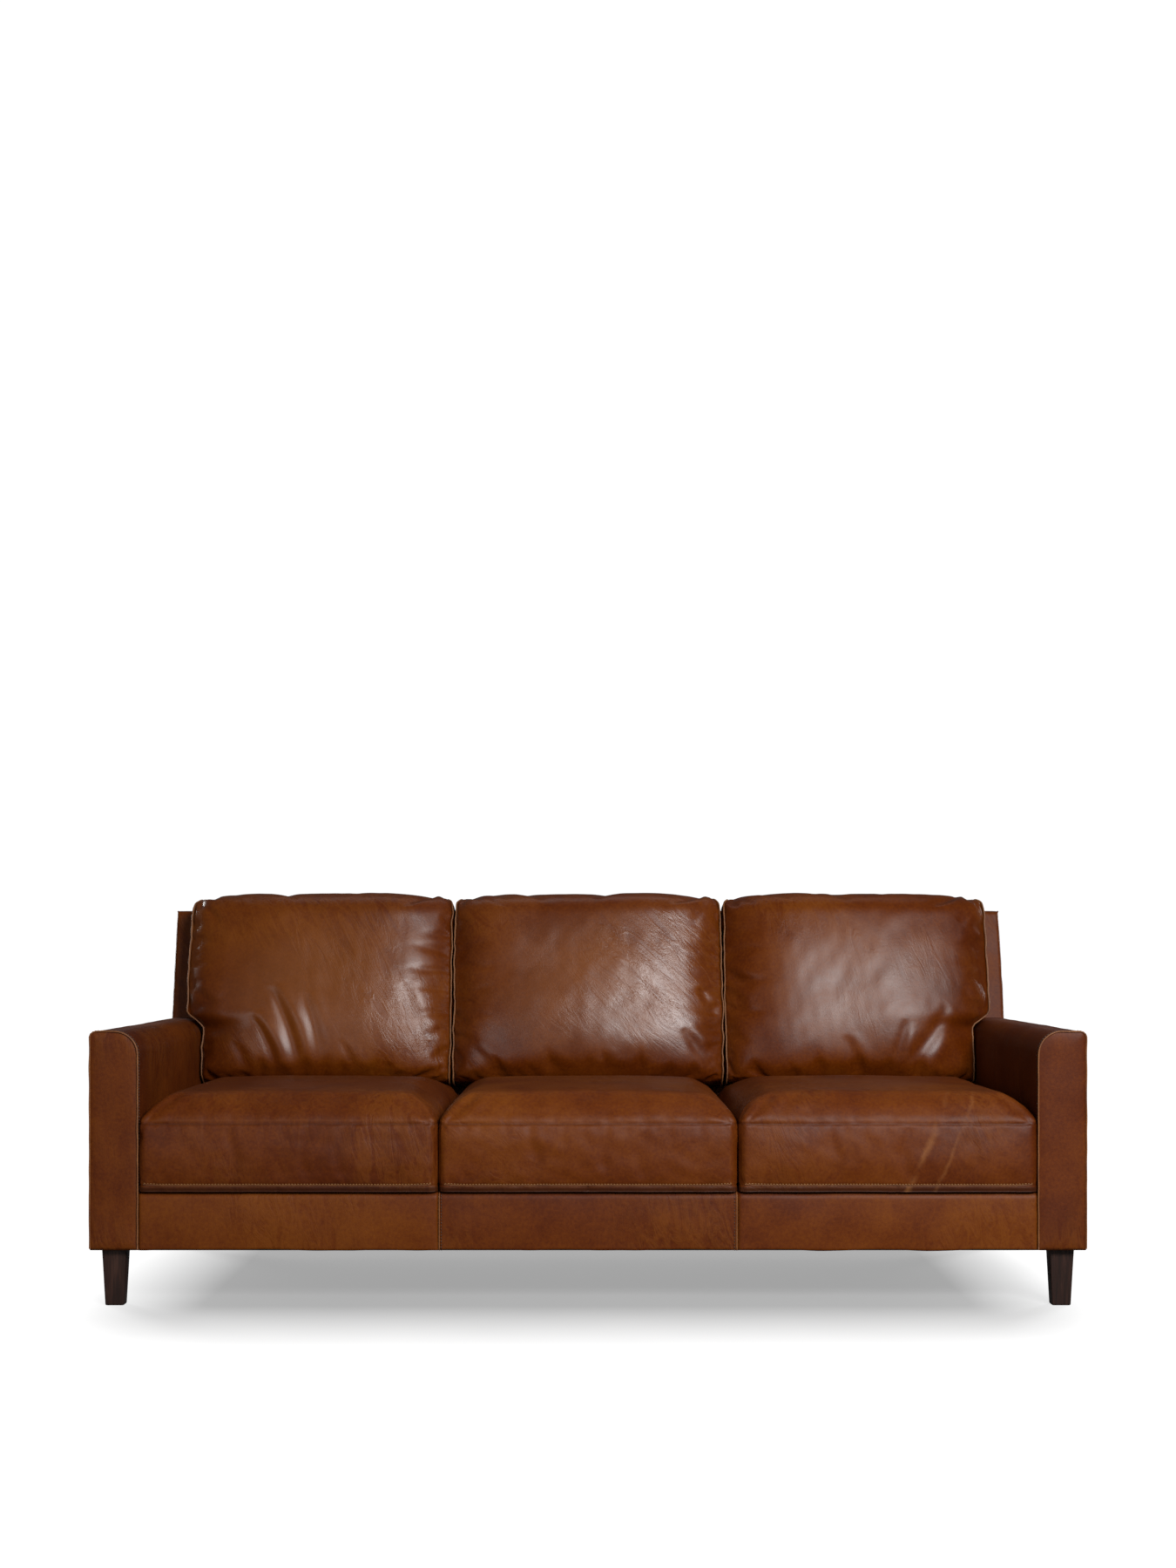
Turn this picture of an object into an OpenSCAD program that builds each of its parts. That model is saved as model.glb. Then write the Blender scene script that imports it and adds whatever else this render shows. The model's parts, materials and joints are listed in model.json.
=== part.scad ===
// Three-seat leather sofa on tapered wooden legs: timber frame, no-sag springs,
// upholstered arms, front rail and back, three loose seat cushions and three loose
// back cushions. Millimetres. +Z is up, the front faces -Y, and the origin is on the
// floor at the centre of the footprint. "left" is the -X side, as seen from the front.

/* [Overall] */
// Width over both arms
overall_w = 2210; // [1900:10:2400]
// Depth from the seat cushions' front to the top of the outside back
overall_d = 950; // [920:5:1000]
// Height of the arms above the floor
arm_h = 613; // [590:1:640]
// Height of the back frame above the floor
back_h = 898; // [870:1:930]
// Height of the upholstered base above the floor, which is the legs' length
base_h = 127; // [100:1:150]

/* [Arms] */
// Width of an arm
arm_w = 106; // [100:1:130]
// Radius of an arm's top inner edge
arm_inner_r = 52; // [30:1:55]
// Radius of an arm's top outer edge
arm_outer_r = 14; // [8:1:18]
// How far the arms' front stands behind the seat cushions' front
arm_front_set_back = 5; // [2:1:12]

/* [Back] */
// Lean of the inside back from the vertical, in degrees
rake = 12.7; // [10:0.1:14]
// Lean of the outside back from the vertical, in degrees
rear_rake = 7.6; // [5:0.1:9]
// Thickness of the back at arm height, level
back_t_at_arm = 128; // [115:1:140]

/* [Seat cushions] */
// Height of the cushions' underside above the floor
seat_z = 257.5; // [257:0.5:262]
// Height of the top seam above the floor
seat_seam_z = 408; // [395:1:420]
// Height of the crown above the floor
seat_crown_z = 470; // [460:1:475]
// Height of the cushion's rear edge above the floor
seat_rear_z = 435; // [425:1:436]

/* [Back cushions] */
// Thickness at the foot
back_cushion_foot_t = 180; // [150:1:185]
// Thickness at the top
back_cushion_top_t = 150; // [130:1:170]
// Length along the rake
back_cushion_h = 505; // [480:1:520]
// Width of each back cushion's share of the back
back_cushion_pitch = 702; // [690:1:705]

/* [Legs] */
// Width of a leg at its top
leg_top_w = 54; // [50:1:60]
// Depth of a leg at its top, from front to rear
leg_top_d = 40; // [36:1:46]
// Width of a leg at its foot
leg_foot_w = 42; // [34:1:48]

/* [Frame] */
// Thickness of the frame boards
board_t = 22; // [18:1:24]
// Thickness of the leather
leather_t = 2; // [1.5:0.5:2]

/* [Hidden] */
$fn = 64;
seats = 3;
gap = 1; // clearance beside each loose cushion
fit = 0.3; // clearance between a cover and what fills it
half_w = overall_w / 2;
front_y = -overall_d / 2;
rear_y = overall_d / 2;
arm_front_y = front_y + arm_front_set_back;
inner_half_w = half_w - arm_w;
seat_pitch = 2 * inner_half_w / seats;
crown_r = seat_crown_z - seat_seam_z;

// Front and rear faces of the back, as y at a height z
function yf(z) = rear_y - (back_h - arm_h) * tan(rear_rake) - back_t_at_arm + (z - arm_h) * tan(rake);
function yr(z) = rear_y - (back_h - z) * tan(rear_rake);

// Padding under the leather, and the frame that it covers
arm_pad = 14;
front_pad = 15;
arm_frame_x0 = inner_half_w + leather_t + arm_pad + 0.5;
arm_frame_x1 = half_w - leather_t - arm_pad - 0.5;
plate_t = 2.5;
frame_z = base_h + plate_t;
frame_front_y = arm_front_y + leather_t + front_pad + 1;
rail_h = 110;
rail_top = frame_z + rail_h;
tuck_z = rail_top + 7;
cover_top_z = seat_z - 1.5;
rear_rail_y = 218;
arm_rear_post_y = 170;
arm_post_top = arm_h - arm_inner_r;
back_pad_t = 16.3;
webbing_t = 1.6;
back_board_off = back_pad_t + webbing_t + 0.6;
back_post_off = back_board_off + board_t + 0.5;
back_frame_top = back_h - 8;

// Legs and their fixings
leg_in = 21;
leg_x = half_w - leg_in - leg_top_w / 2;
bolt_in = 25;
front_leg_y = arm_front_y + leg_in + bolt_in;
rear_leg_y = yr(base_h) - leg_in - bolt_in;
bolt_r = 4;
bolt_hole_r = 4.5;
leg_hole_r = 4.1;
plate_w = 56;
plate_hole_in = 6;
block_h = 55;
screw_r = 2.3;
screw_l = 22;
screw_head_r = 4;
screw_head_t = 1.3;

// No-sag springs
springs_per_seat = 5;
spring_step = 122;
spring_half_waves = 20;
spring_w = 24;
wire = 4;
spring_z = rail_top + 0.2;
spring_y0 = frame_front_y + board_t / 2;
spring_y1 = rear_rail_y + board_t / 2;
spring_pitch = 2 * (spring_y1 - spring_y0) / spring_half_waves;
points_per_wave = 10;

// ---- helpers ----

// Points along an arc in 2D, angles in degrees
function arc(c, r, a0, a1, n = 8) =
  [for (i = [0:n]) let (a = a0 + (a1 - a0) * i / n) [c[0] + r * cos(a), c[1] + r * sin(a)]];

// Extrudes a (y, z) outline along X from x0 to x1
module along_x(x0, x1) {
  translate([x0, 0, 0]) rotate([90, 0, 90]) linear_extrude(x1 - x0) children();
}

// Extrudes an (x, z) outline along Y from y0 to y1
module along_y(y0, y1) {
  translate([0, y1, 0]) rotate([90, 0, 0]) linear_extrude(y1 - y0) children();
}

// A box between two corners
module block(a, b) {
  translate(a) cube([b[0] - a[0], b[1] - a[1], b[2] - a[2]]);
}

// The right-hand piece as drawn, or its mirror image for the left
module on_side(side) {
  if (side < 0) mirror([1, 0, 0]) children();
  else children();
}

// A slab that leans with the inside back, between two distances behind its face
module raked_slab(x0, x1, z0, z1, off0, off1) {
  along_x(x0, x1) polygon([
    [yf(z0) + off0, z0], [yf(z0) + off1, z0], [yf(z1) + off1, z1], [yf(z1) + off0, z1]
  ]);
}

// Children at each leg's bolt, on the floor
module at_legs() {
  for (x = [-leg_x, leg_x], y = [front_leg_y, rear_leg_y]) translate([x, y, 0]) children();
}

// Children at the four screws of each leg's plate, level with the plate's underside
module at_plate_screws() {
  reach = plate_w / 2 - plate_hole_in;
  at_legs() for (x = [-reach, reach], y = [-reach, reach]) translate([x, y, base_h]) children();
}

// Pilot holes that the plates' screws run into
module pilot_holes() {
  at_plate_screws() cylinder(r = screw_r + 0.1, h = screw_l + 1);
}

// ---- timber frame ----

module front_rail() {
  color("burlywood")
    block([-arm_frame_x0, frame_front_y, frame_z], [arm_frame_x0, frame_front_y + board_t, rail_top]);
}

module rear_rail() {
  color("burlywood")
    block([-arm_frame_x0, rear_rail_y, frame_z], [arm_frame_x0, rear_rail_y + board_t, rail_top]);
}

module side_rail(side) {
  color("burlywood") on_side(side) difference() {
    block([arm_frame_x0, frame_front_y + board_t, frame_z],
          [arm_frame_x0 + board_t, rear_leg_y - 40, rail_top]);
    pilot_holes();
  }
}

// Two stretchers under the joins between the seats
module cross_rails() {
  color("burlywood") for (x = [-seat_pitch / 2, seat_pitch / 2])
    block([x - board_t / 2, frame_front_y + board_t, frame_z],
          [x + board_t / 2, rear_rail_y, rail_top - 40]);
}

// Blocks that the legs bolt into
module corner_blocks() {
  color("tan") difference() {
    for (side = [-1, 1]) on_side(side) {
      block([arm_frame_x0 + board_t + 0.5, frame_front_y + board_t + 0.5, frame_z],
            [arm_frame_x1, frame_front_y + board_t + 55, frame_z + block_h]);
      block([arm_frame_x0 + 0.5, rear_leg_y - 39, frame_z],
            [arm_frame_x1 - board_t - 0.5, rear_leg_y + 26, frame_z + block_h]);
    }
    at_legs() cylinder(r = bolt_hole_r, h = frame_z + block_h + 1);
    pilot_holes();
  }
}

module arm_front_post(side) {
  color("burlywood") on_side(side) difference() {
    block([arm_frame_x0, frame_front_y, frame_z],
          [arm_frame_x1, frame_front_y + board_t, arm_post_top]);
    pilot_holes();
  }
}

module arm_rear_post(side) {
  color("burlywood") on_side(side)
    block([arm_frame_x0 + board_t + 0.5, arm_rear_post_y, frame_z],
          [arm_frame_x1, arm_rear_post_y + board_t, arm_post_top]);
}

// Rounded along its inner top edge, as the arm is
module arm_top_rail(side) {
  in = leather_t + arm_pad + 0.5;
  color("burlywood") on_side(side) along_y(frame_front_y, yf(arm_post_top) - 8) difference() {
    arm_outline(in, arm_post_top - 2);
    translate([0, -1]) square([half_w, arm_post_top + 1]);
  }
}

// A post cut to the back's tapering lean
module back_post(x0, x1) {
  along_x(x0, x1) polygon([
    [yf(frame_z) + back_post_off, frame_z], [yr(frame_z) - 4, frame_z],
    [yr(back_frame_top) - 4, back_frame_top], [yf(back_frame_top) + back_post_off, back_frame_top]
  ]);
}

module outer_back_post(side) {
  color("burlywood") on_side(side) difference() {
    back_post(arm_frame_x1 - board_t, arm_frame_x1);
    pilot_holes();
  }
}

module inner_back_posts() {
  color("burlywood") for (x = [-seat_pitch / 2, seat_pitch / 2])
    back_post(x - board_t / 2, x + board_t / 2);
}

module back_top_rail() {
  color("burlywood")
    raked_slab(-arm_frame_x1, arm_frame_x1, back_frame_top - 80, back_frame_top,
               back_board_off, back_board_off + board_t);
}

module back_lower_rail() {
  color("burlywood")
    raked_slab(-arm_frame_x0, arm_frame_x0, 330, 410, back_board_off, back_board_off + board_t);
}

// ---- suspension ----

// Centre line of a no-sag spring: x swings across while y runs on, held back in the
// bends so that each loop is fuller than a plain wave
function wave(a) = [
  spring_w * sin(a),
  spring_pitch * a / 360 - 0.9 * spring_pitch / (4 * PI) * sin(2 * a)
];
function wave_slope(a) = [
  spring_w * cos(a),
  spring_pitch / (2 * PI) - 0.9 * spring_pitch / (2 * PI) * cos(2 * a)
];
function beside(a, off) =
  let (p = wave(a), d = wave_slope(a), n = norm(d)) [p[0] - off * d[1] / n, p[1] + off * d[0] / n];

module seat_spring() {
  a0 = -45;
  a1 = spring_half_waves * 180 + 45;
  n = spring_half_waves * points_per_wave / 2;
  angles = [for (i = [0:n]) a0 + (a1 - a0) * i / n];
  linear_extrude(wire) polygon(concat(
    [for (i = [0:n]) beside(angles[i], wire / 2)],
    [for (i = [n:-1:0]) beside(angles[i], -wire / 2)]
  ));
}

function spring_x(seat, i) = seat * seat_pitch + (i - (springs_per_seat - 1) / 2) * spring_step;

module seat_springs(seat) {
  color("dimgray") for (i = [0:springs_per_seat - 1])
    translate([spring_x(seat, i), spring_y0, spring_z]) seat_spring();
}

// A clip over each spring's end bar, front and rear
module spring_clips() {
  room = wire / 2 + 1.4;
  color("silver") for (seat = [-1:1], i = [0:springs_per_seat - 1], y = [spring_y0, spring_y1])
    translate([spring_x(seat, i), y, 0]) difference() {
      block([-9, -room - 1.6, rail_top], [9, room + 1.6, spring_z + wire + 1.6]);
      block([-10, -room, rail_top - 1], [10, room, spring_z + wire + 0.3]);
    }
}

// Wires across the springs that share a sitter's weight between them
module spring_tie_wires() {
  tie_r = 1.5;
  color("gray") for (share = [0.35, 0.68])
    translate([-inner_half_w + 30, spring_y0 + share * (spring_y1 - spring_y0), spring_z + wire + tie_r + 0.3])
      rotate([0, 90, 0]) cylinder(r = tie_r, h = 2 * inner_half_w - 60);
}

module spring_cloth() {
  color("tan")
    block([-inner_half_w + 2, frame_front_y + board_t + 4, rail_top + 9.2],
          [inner_half_w - 2, yf(rail_top) - 1, rail_top + 10.2]);
}

module seat_deck() {
  color("saddlebrown")
    block([-inner_half_w + 1, frame_front_y + board_t + 24, rail_top + 10.5],
          [inner_half_w - 1, yf(rail_top + 10) - 1, seat_z - 1.7]);
}

// Elastic straps up the back, three to a seat
module back_webbing() {
  color("dimgray") for (seat = [-1:1], i = [-1:1])
    let (x = seat * seat_pitch + i * 180)
      raked_slab(x - 30, x + 30, 340, back_frame_top - 10, back_pad_t + 0.3, back_pad_t + 0.3 + webbing_t);
}

// ---- seat cushions ----

// Side outline (y, z) of a seat cushion, drawn in by t
function seat_outline(t) = concat(
  [[front_y + t, seat_z + t]],
  arc([front_y + crown_r, seat_seam_z], crown_r - t, 180, 90),
  [[yf(seat_crown_z) - 207, seat_crown_z - t], [rear_rail_y + 4 - t, seat_rear_z - t],
   [rear_rail_y + 4 - t, seat_z + t]]
);

// Front outline (x, z) of a seat cushion between x0 and x1, drawn in by t
function seat_front(x0, x1, t) = concat(
  [[x0 + t, seat_z + t], [x1 - t, seat_z + t]],
  arc([x1 - crown_r, seat_seam_z], crown_r - t, 0, 90),
  arc([x0 + crown_r, seat_seam_z], crown_r - t, 90, 180)
);

module seat_block(seat, t) {
  x0 = (seat - 0.5) * seat_pitch + gap / 2;
  x1 = (seat + 0.5) * seat_pitch - gap / 2;
  intersection() {
    along_x(x0 - 1, x1 + 1) polygon(seat_outline(t));
    along_y(front_y - 1, rear_y) polygon(seat_front(x0 + (seat < 0 ? gap / 2 : 0), x1 - (seat > 0 ? gap / 2 : 0), t));
  }
}

// Leather case, open along its zip at the rear
module seat_cover(seat) {
  zip_w = 480;
  color("sienna") difference() {
    seat_block(seat, 0);
    seat_block(seat, leather_t);
    block([seat * seat_pitch - zip_w / 2, rear_rail_y, 340], [seat * seat_pitch + zip_w / 2, rear_rail_y + 6, 342]);
  }
}

module seat_core(seat) {
  color("khaki") seat_block(seat, leather_t + fit);
}

// ---- back cushions ----

cushion_foot_z = 426.5;
cushion_foot_y = yf(cushion_foot_z) - 0.6;
notch_up = (arm_h + 4 - cushion_foot_z) / cos(rake);

// Side outline of a back cushion along the rake: x is how far it stands behind the
// inside back (all of it in front, so negative), y is the distance up the rake
function back_cushion_side(t) = concat(
  [[-t, t]],
  [[-t, back_cushion_h - 40]],
  arc([-40, back_cushion_h - 40], 40 - t, 0, 90, 6),
  arc([-back_cushion_top_t + 60, back_cushion_h - 60], 60 - t, 90, 176, 8),
  arc([-back_cushion_foot_t + 30, 30], 30 - t, 184, 270, 6)
);

// Front outline of a back cushion. The outer ones step in below the arms' tops.
function back_cushion_front(seat, t) =
  let (
    x0 = -back_cushion_pitch / 2 + gap,
    x1 = seat == 0 ? back_cushion_pitch / 2 - gap : back_cushion_pitch / 2,
    foot_x1 = seat == 0 ? x1 : inner_half_w - back_cushion_pitch - 3,
    up = seat == 0 ? 60 : notch_up
  )
  concat(
    arc([x0 + 30, 30], 30 - t, 180, 270, 6),
    arc([foot_x1 - 30, 30], 30 - t, 270, 360, 6),
    seat == 0 ? [] : [[foot_x1 - t, up + t * 0.4], [x1 - t, up + 32 + t * 0.4]],
    arc([x1 - 26, back_cushion_h - 26], 26 - t, 0, 90, 6),
    arc([x0 + 26, back_cushion_h - 26], 26 - t, 90, 180, 6)
  );

module back_cushion_block(seat, t) {
  translate([seat * back_cushion_pitch, cushion_foot_y, cushion_foot_z]) rotate([-rake, 0, 0])
    intersection() {
      along_x(-back_cushion_pitch, back_cushion_pitch) polygon(back_cushion_side(t));
      on_side(seat) along_y(-overall_d / 2, 10) polygon(back_cushion_front(seat, t));
    }
}

// Leather case, open along its zip at the foot
module back_cushion_cover(seat) {
  zip_w = 420;
  color("sienna") difference() {
    back_cushion_block(seat, 0);
    back_cushion_block(seat, leather_t);
    translate([seat * back_cushion_pitch, cushion_foot_y, cushion_foot_z]) rotate([-rake, 0, 0])
      block([-zip_w / 2 - seat * 30, -60, -1], [zip_w / 2 - seat * 30, -58, 3]);
  }
}

module back_cushion_fill(seat) {
  color("ivory") back_cushion_block(seat, leather_t + fit);
}

// ---- arms ----

// Front outline (x, z) of the right arm, drawn in by t, down to z0
module arm_outline(t, z0) {
  x0 = inner_half_w + t;
  x1 = half_w - t;
  top = arm_h - t;
  inner_r = arm_inner_r - t;
  outer_r = max(arm_outer_r - t, 1);
  translate([x0, z0]) square([x1 - x0, top - inner_r - z0]);
  translate([x0 + inner_r, z0]) square([x1 - outer_r - x0 - inner_r, top - z0]);
  translate([x0 + inner_r, z0]) square([x1 - x0 - inner_r, top - outer_r - z0]);
  translate([x0 + inner_r, top - inner_r]) circle(inner_r);
  translate([x1 - outer_r, top - outer_r]) circle(outer_r);
}

// Everything in front of the inside back's face, less a distance
module in_front_of_back(off) {
  along_x(0, half_w + 10) polygon([
    [front_y - 10, 0], [yf(0) - off, 0], [yf(arm_h + 20) - off, arm_h + 20], [front_y - 10, arm_h + 20]
  ]);
}

module arm_front_panel(side) {
  color("sienna") on_side(side) along_y(arm_front_y, arm_front_y + leather_t) arm_outline(0, base_h);
}

// One hide from the outer top edge, over the arm and down inside to the seat deck
module arm_inside_panel(side) {
  color("peru") on_side(side) intersection() {
    along_y(arm_front_y + leather_t, yf(arm_h)) difference() {
      arm_outline(0, tuck_z);
      arm_outline(leather_t, tuck_z - 1);
      translate([half_w - leather_t - 0.01, 0]) square([10, arm_h - arm_outer_r]);
    }
    in_front_of_back(0.4);
  }
}

module arm_outside_panel(side) {
  color("sienna") on_side(side) along_x(half_w - leather_t, half_w) polygon([
    [arm_front_y + leather_t, base_h], [yr(base_h) - leather_t, base_h],
    [yr(arm_h - arm_outer_r) - leather_t, arm_h - arm_outer_r],
    [arm_front_y + leather_t, arm_h - arm_outer_r]
  ]);
}

// Foam jacket between the arm's frame and its leather
module arm_padding(side) {
  skin = leather_t + 0.2;
  color("khaki") on_side(side) {
    along_y(arm_front_y + skin, frame_front_y - 0.4) arm_outline(skin, base_h + 1);
    intersection() {
      along_y(frame_front_y - 0.5, yf(arm_h)) difference() {
        arm_outline(skin, frame_z);
        arm_outline(skin + arm_pad, frame_z - 1);
        translate([inner_half_w, 0]) square([arm_pad + 6, tuck_z]);
      }
      in_front_of_back(0.8);
    }
  }
}

// ---- front rail upholstery ----

// Side outline (y, z) of the covered front rail, drawn in by t and open at the rear
module rail_outline(t) {
  y0 = arm_front_y + 3 + t;
  r = 14 - t;
  depth = 58;
  translate([y0, base_h + t]) square([depth, cover_top_z - t - r - base_h - t]);
  translate([y0 + r, base_h + t]) square([depth - r, cover_top_z - 2 * t - base_h]);
  translate([y0 + r, cover_top_z - t - r]) circle(r);
}

module rail_cover(seat) {
  x0 = (seat - 0.5) * seat_pitch + 0.2;
  x1 = (seat + 0.5) * seat_pitch - 0.2;
  color("peru") along_x(x0, x1) difference() {
    rail_outline(0);
    rail_outline(leather_t);
    translate([frame_front_y + 8, 0]) square([100, rail_top]);
  }
}

module rail_padding() {
  color("khaki") along_x(-inner_half_w + 1, inner_half_w - 1) difference() {
    rail_outline(leather_t + 0.2);
    translate([frame_front_y - 0.2, 0]) square([100, rail_top + 0.5]);
    translate([frame_front_y + 5, 0]) square([100, cover_top_z]);
  }
}

// ---- back upholstery ----

// Side outline (y, z) of the back, drawn in by t at the front and the top, where a round
// joins the two. Drawn in, it runs on past the rear and the foot, to cut those open.
function back_outline(t) =
  let (r = 14, z = back_h - r, foot = t > 0 ? tuck_z - 1 : tuck_z)
  concat(
    [[yf(foot) + t / cos(rake), foot]],
    arc([yf(z) + r / cos(rake), z], r - t, 180 - rake, 90, 6),
    t > 0 ? [[rear_y + 5, back_h - t], [rear_y + 5, foot]]
          : concat(arc([rear_y - leather_t - 8, back_h - 8], 8, 90, 10, 4), [[yr(foot) - leather_t, foot]])
  );

// Leather over the front, the top and the two ends of the back
module inside_back_cover() {
  color("sienna") difference() {
    along_x(-half_w, half_w) polygon(back_outline(0));
    along_x(-half_w + leather_t, half_w - leather_t) polygon(back_outline(leather_t));
    for (side = [-1, 1]) on_side(side)
      block([half_w - leather_t - 0.1, 0, 0], [half_w + 1, rear_y + 10, arm_h - arm_outer_r + 0.1]);
  }
}

module outside_back_panel() {
  color("sienna") along_x(-half_w, half_w) polygon([
    [yr(base_h) - leather_t, base_h], [yr(base_h), base_h],
    [rear_y, back_h - 8], [rear_y - leather_t, back_h - 8]
  ]);
}

module back_padding() {
  color("khaki")
    raked_slab(-arm_frame_x1, arm_frame_x1, tuck_z + 5, back_frame_top - 2, leather_t + 0.5, back_pad_t);
}

// ---- underside ----

module dust_cover() {
  edge = 9;
  color("black") difference() {
    block([-half_w + edge, arm_front_y + 14, base_h - 1.5], [half_w - edge, yr(base_h) - edge, base_h - 0.1]);
    at_legs() translate([0, 0, base_h]) cube([leg_top_w + 3, leg_top_w + 3, 20], center = true);
  }
}

// A leg, tapered alike on all four sides, drilled for its bolt. out is -1 at the front and 1 at the rear
module leg(x, y, out) {
  module taper(low, high) {
    t = (leg_top_w - leg_foot_w) / 2;
    polygon([[low + t, 0], [high - t, 0], [high, base_h], [low, base_h]]);
  }
  middle = out * (bolt_in - leg_top_d / 2);
  color("#2b1a14") translate([x, y, 0]) difference() {
    intersection() {
      along_x(-leg_top_w, leg_top_w) taper(middle - leg_top_d / 2, middle + leg_top_d / 2);
      along_y(-leg_top_w, leg_top_w) taper(-leg_top_w / 2, leg_top_w / 2);
    }
    translate([0, 0, base_h - 34]) cylinder(r = leg_hole_r, h = 40);
  }
}

module leg_plates() {
  color("silver") difference() {
    at_legs() translate([-plate_w / 2, -plate_w / 2, base_h]) cube([plate_w, plate_w, plate_t]);
    at_legs() cylinder(r = bolt_hole_r, h = frame_z + 1);
    at_plate_screws() translate([0, 0, -1]) cylinder(r = screw_head_r + 0.2, h = screw_head_t + 1.1);
    at_plate_screws() cylinder(r = screw_r + 0.1, h = plate_t + 1);
  }
}

// Double-ended bolts that join the legs to their corner blocks
module leg_bolts() {
  color("silver") at_legs() translate([0, 0, base_h - 32]) cylinder(r = bolt_r, h = 80);
}

module plate_screws() {
  color("silver") at_plate_screws() {
    cylinder(r = screw_head_r, h = screw_head_t);
    cylinder(r = screw_r, h = screw_l);
  }
}

front_rail();
rear_rail();
side_rail(-1);  // left_side_rail
side_rail(1);  // right_side_rail
cross_rails();
corner_blocks();
arm_front_post(-1);  // left_arm_front_post
arm_front_post(1);  // right_arm_front_post
arm_rear_post(-1);  // left_arm_rear_post
arm_rear_post(1);  // right_arm_rear_post
arm_top_rail(-1);  // left_arm_top_rail
arm_top_rail(1);  // right_arm_top_rail
outer_back_post(-1);  // left_back_post
outer_back_post(1);  // right_back_post
inner_back_posts();
back_top_rail();
back_lower_rail();
seat_springs(-1);  // left_seat_springs
seat_springs(0);  // centre_seat_springs
seat_springs(1);  // right_seat_springs
spring_clips();
spring_tie_wires();
spring_cloth();
seat_deck();
back_webbing();
seat_cover(-1);  // left_seat_cover
seat_cover(0);  // centre_seat_cover
seat_cover(1);  // right_seat_cover
seat_core(-1);  // left_seat_core
seat_core(0);  // centre_seat_core
seat_core(1);  // right_seat_core
back_cushion_cover(-1);  // left_back_cushion_cover
back_cushion_cover(0);  // centre_back_cushion_cover
back_cushion_cover(1);  // right_back_cushion_cover
back_cushion_fill(-1);  // left_back_cushion_fill
back_cushion_fill(0);  // centre_back_cushion_fill
back_cushion_fill(1);  // right_back_cushion_fill
arm_front_panel(-1);  // left_arm_front_panel
arm_front_panel(1);  // right_arm_front_panel
arm_inside_panel(-1);  // left_arm_inside_panel
arm_inside_panel(1);  // right_arm_inside_panel
arm_outside_panel(-1);  // left_arm_outside_panel
arm_outside_panel(1);  // right_arm_outside_panel
arm_padding(-1);  // left_arm_padding
arm_padding(1);  // right_arm_padding
rail_cover(-1);  // left_rail_cover
rail_cover(0);  // centre_rail_cover
rail_cover(1);  // right_rail_cover
rail_padding();
inside_back_cover();
outside_back_panel();
back_padding();
dust_cover();
leg(-leg_x, front_leg_y, -1);  // front_left_leg
leg(leg_x, front_leg_y, -1);  // front_right_leg
leg(-leg_x, rear_leg_y, 1);  // rear_left_leg
leg(leg_x, rear_leg_y, 1);  // rear_right_leg
leg_plates();
leg_bolts();
plate_screws();
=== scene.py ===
"""A three-seat sofa in brown pull-up leather, on tapered wooden legs."""

import json
import math

import bpy
import numpy as np
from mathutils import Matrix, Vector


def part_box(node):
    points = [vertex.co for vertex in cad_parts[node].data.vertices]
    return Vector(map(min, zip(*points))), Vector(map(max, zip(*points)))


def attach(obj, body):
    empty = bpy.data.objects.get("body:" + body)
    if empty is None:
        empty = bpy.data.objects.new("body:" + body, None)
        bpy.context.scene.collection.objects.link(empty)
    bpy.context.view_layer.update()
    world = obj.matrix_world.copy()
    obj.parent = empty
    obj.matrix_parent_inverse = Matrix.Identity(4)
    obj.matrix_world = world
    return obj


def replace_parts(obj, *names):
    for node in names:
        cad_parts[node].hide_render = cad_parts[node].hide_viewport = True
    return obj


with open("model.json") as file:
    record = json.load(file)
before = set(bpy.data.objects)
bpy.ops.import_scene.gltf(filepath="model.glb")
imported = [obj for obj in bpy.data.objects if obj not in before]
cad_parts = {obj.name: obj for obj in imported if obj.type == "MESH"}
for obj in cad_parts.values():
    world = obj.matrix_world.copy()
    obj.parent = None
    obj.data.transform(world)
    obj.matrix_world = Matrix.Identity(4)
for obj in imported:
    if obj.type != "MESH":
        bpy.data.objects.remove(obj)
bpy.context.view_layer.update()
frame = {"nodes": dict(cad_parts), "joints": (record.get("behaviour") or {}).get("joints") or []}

scene = bpy.context.scene
scene.view_settings.view_transform = "Standard"
LEFT, CENTRE, RIGHT = -1, 0, 1
SIDE_NAMES = {LEFT: "left", CENTRE: "centre", RIGHT: "right"}
QUARTER = math.pi / 2


# ---- Base, arm and back frame ----
# Planed pale hardwood boards, glued and screwed together. All of it ends up under
# padding and leather. The boards keep their sawn shape from the frame.

def new_material(name):
    """An empty node material: its node tree, the Principled shader and the Object coordinates."""
    material = bpy.data.materials.new(name)
    material.use_nodes = True
    tree = material.node_tree
    tree.nodes.clear()
    output = tree.nodes.new("ShaderNodeOutputMaterial")
    shader = tree.nodes.new("ShaderNodeBsdfPrincipled")
    tree.links.new(shader.outputs["BSDF"], output.inputs["Surface"])
    place = tree.nodes.new("ShaderNodeTexCoord").outputs["Object"]
    return material, tree, shader, place


def add(tree, kind, settings=None, **inputs):
    """A shader node. Each input is named with _ for a space, and takes a value or another node's socket."""
    node = tree.nodes.new("ShaderNode" + kind)
    for key, value in (settings or {}).items():
        setattr(node, key, value)
    for key, value in inputs.items():
        socket = node.inputs[int(key[1:])] if key[0] == "_" else node.inputs[key.replace("_", " ")]
        if isinstance(value, bpy.types.NodeSocket):
            tree.links.new(value, socket)
        else:
            socket.default_value = value
    return node


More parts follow.
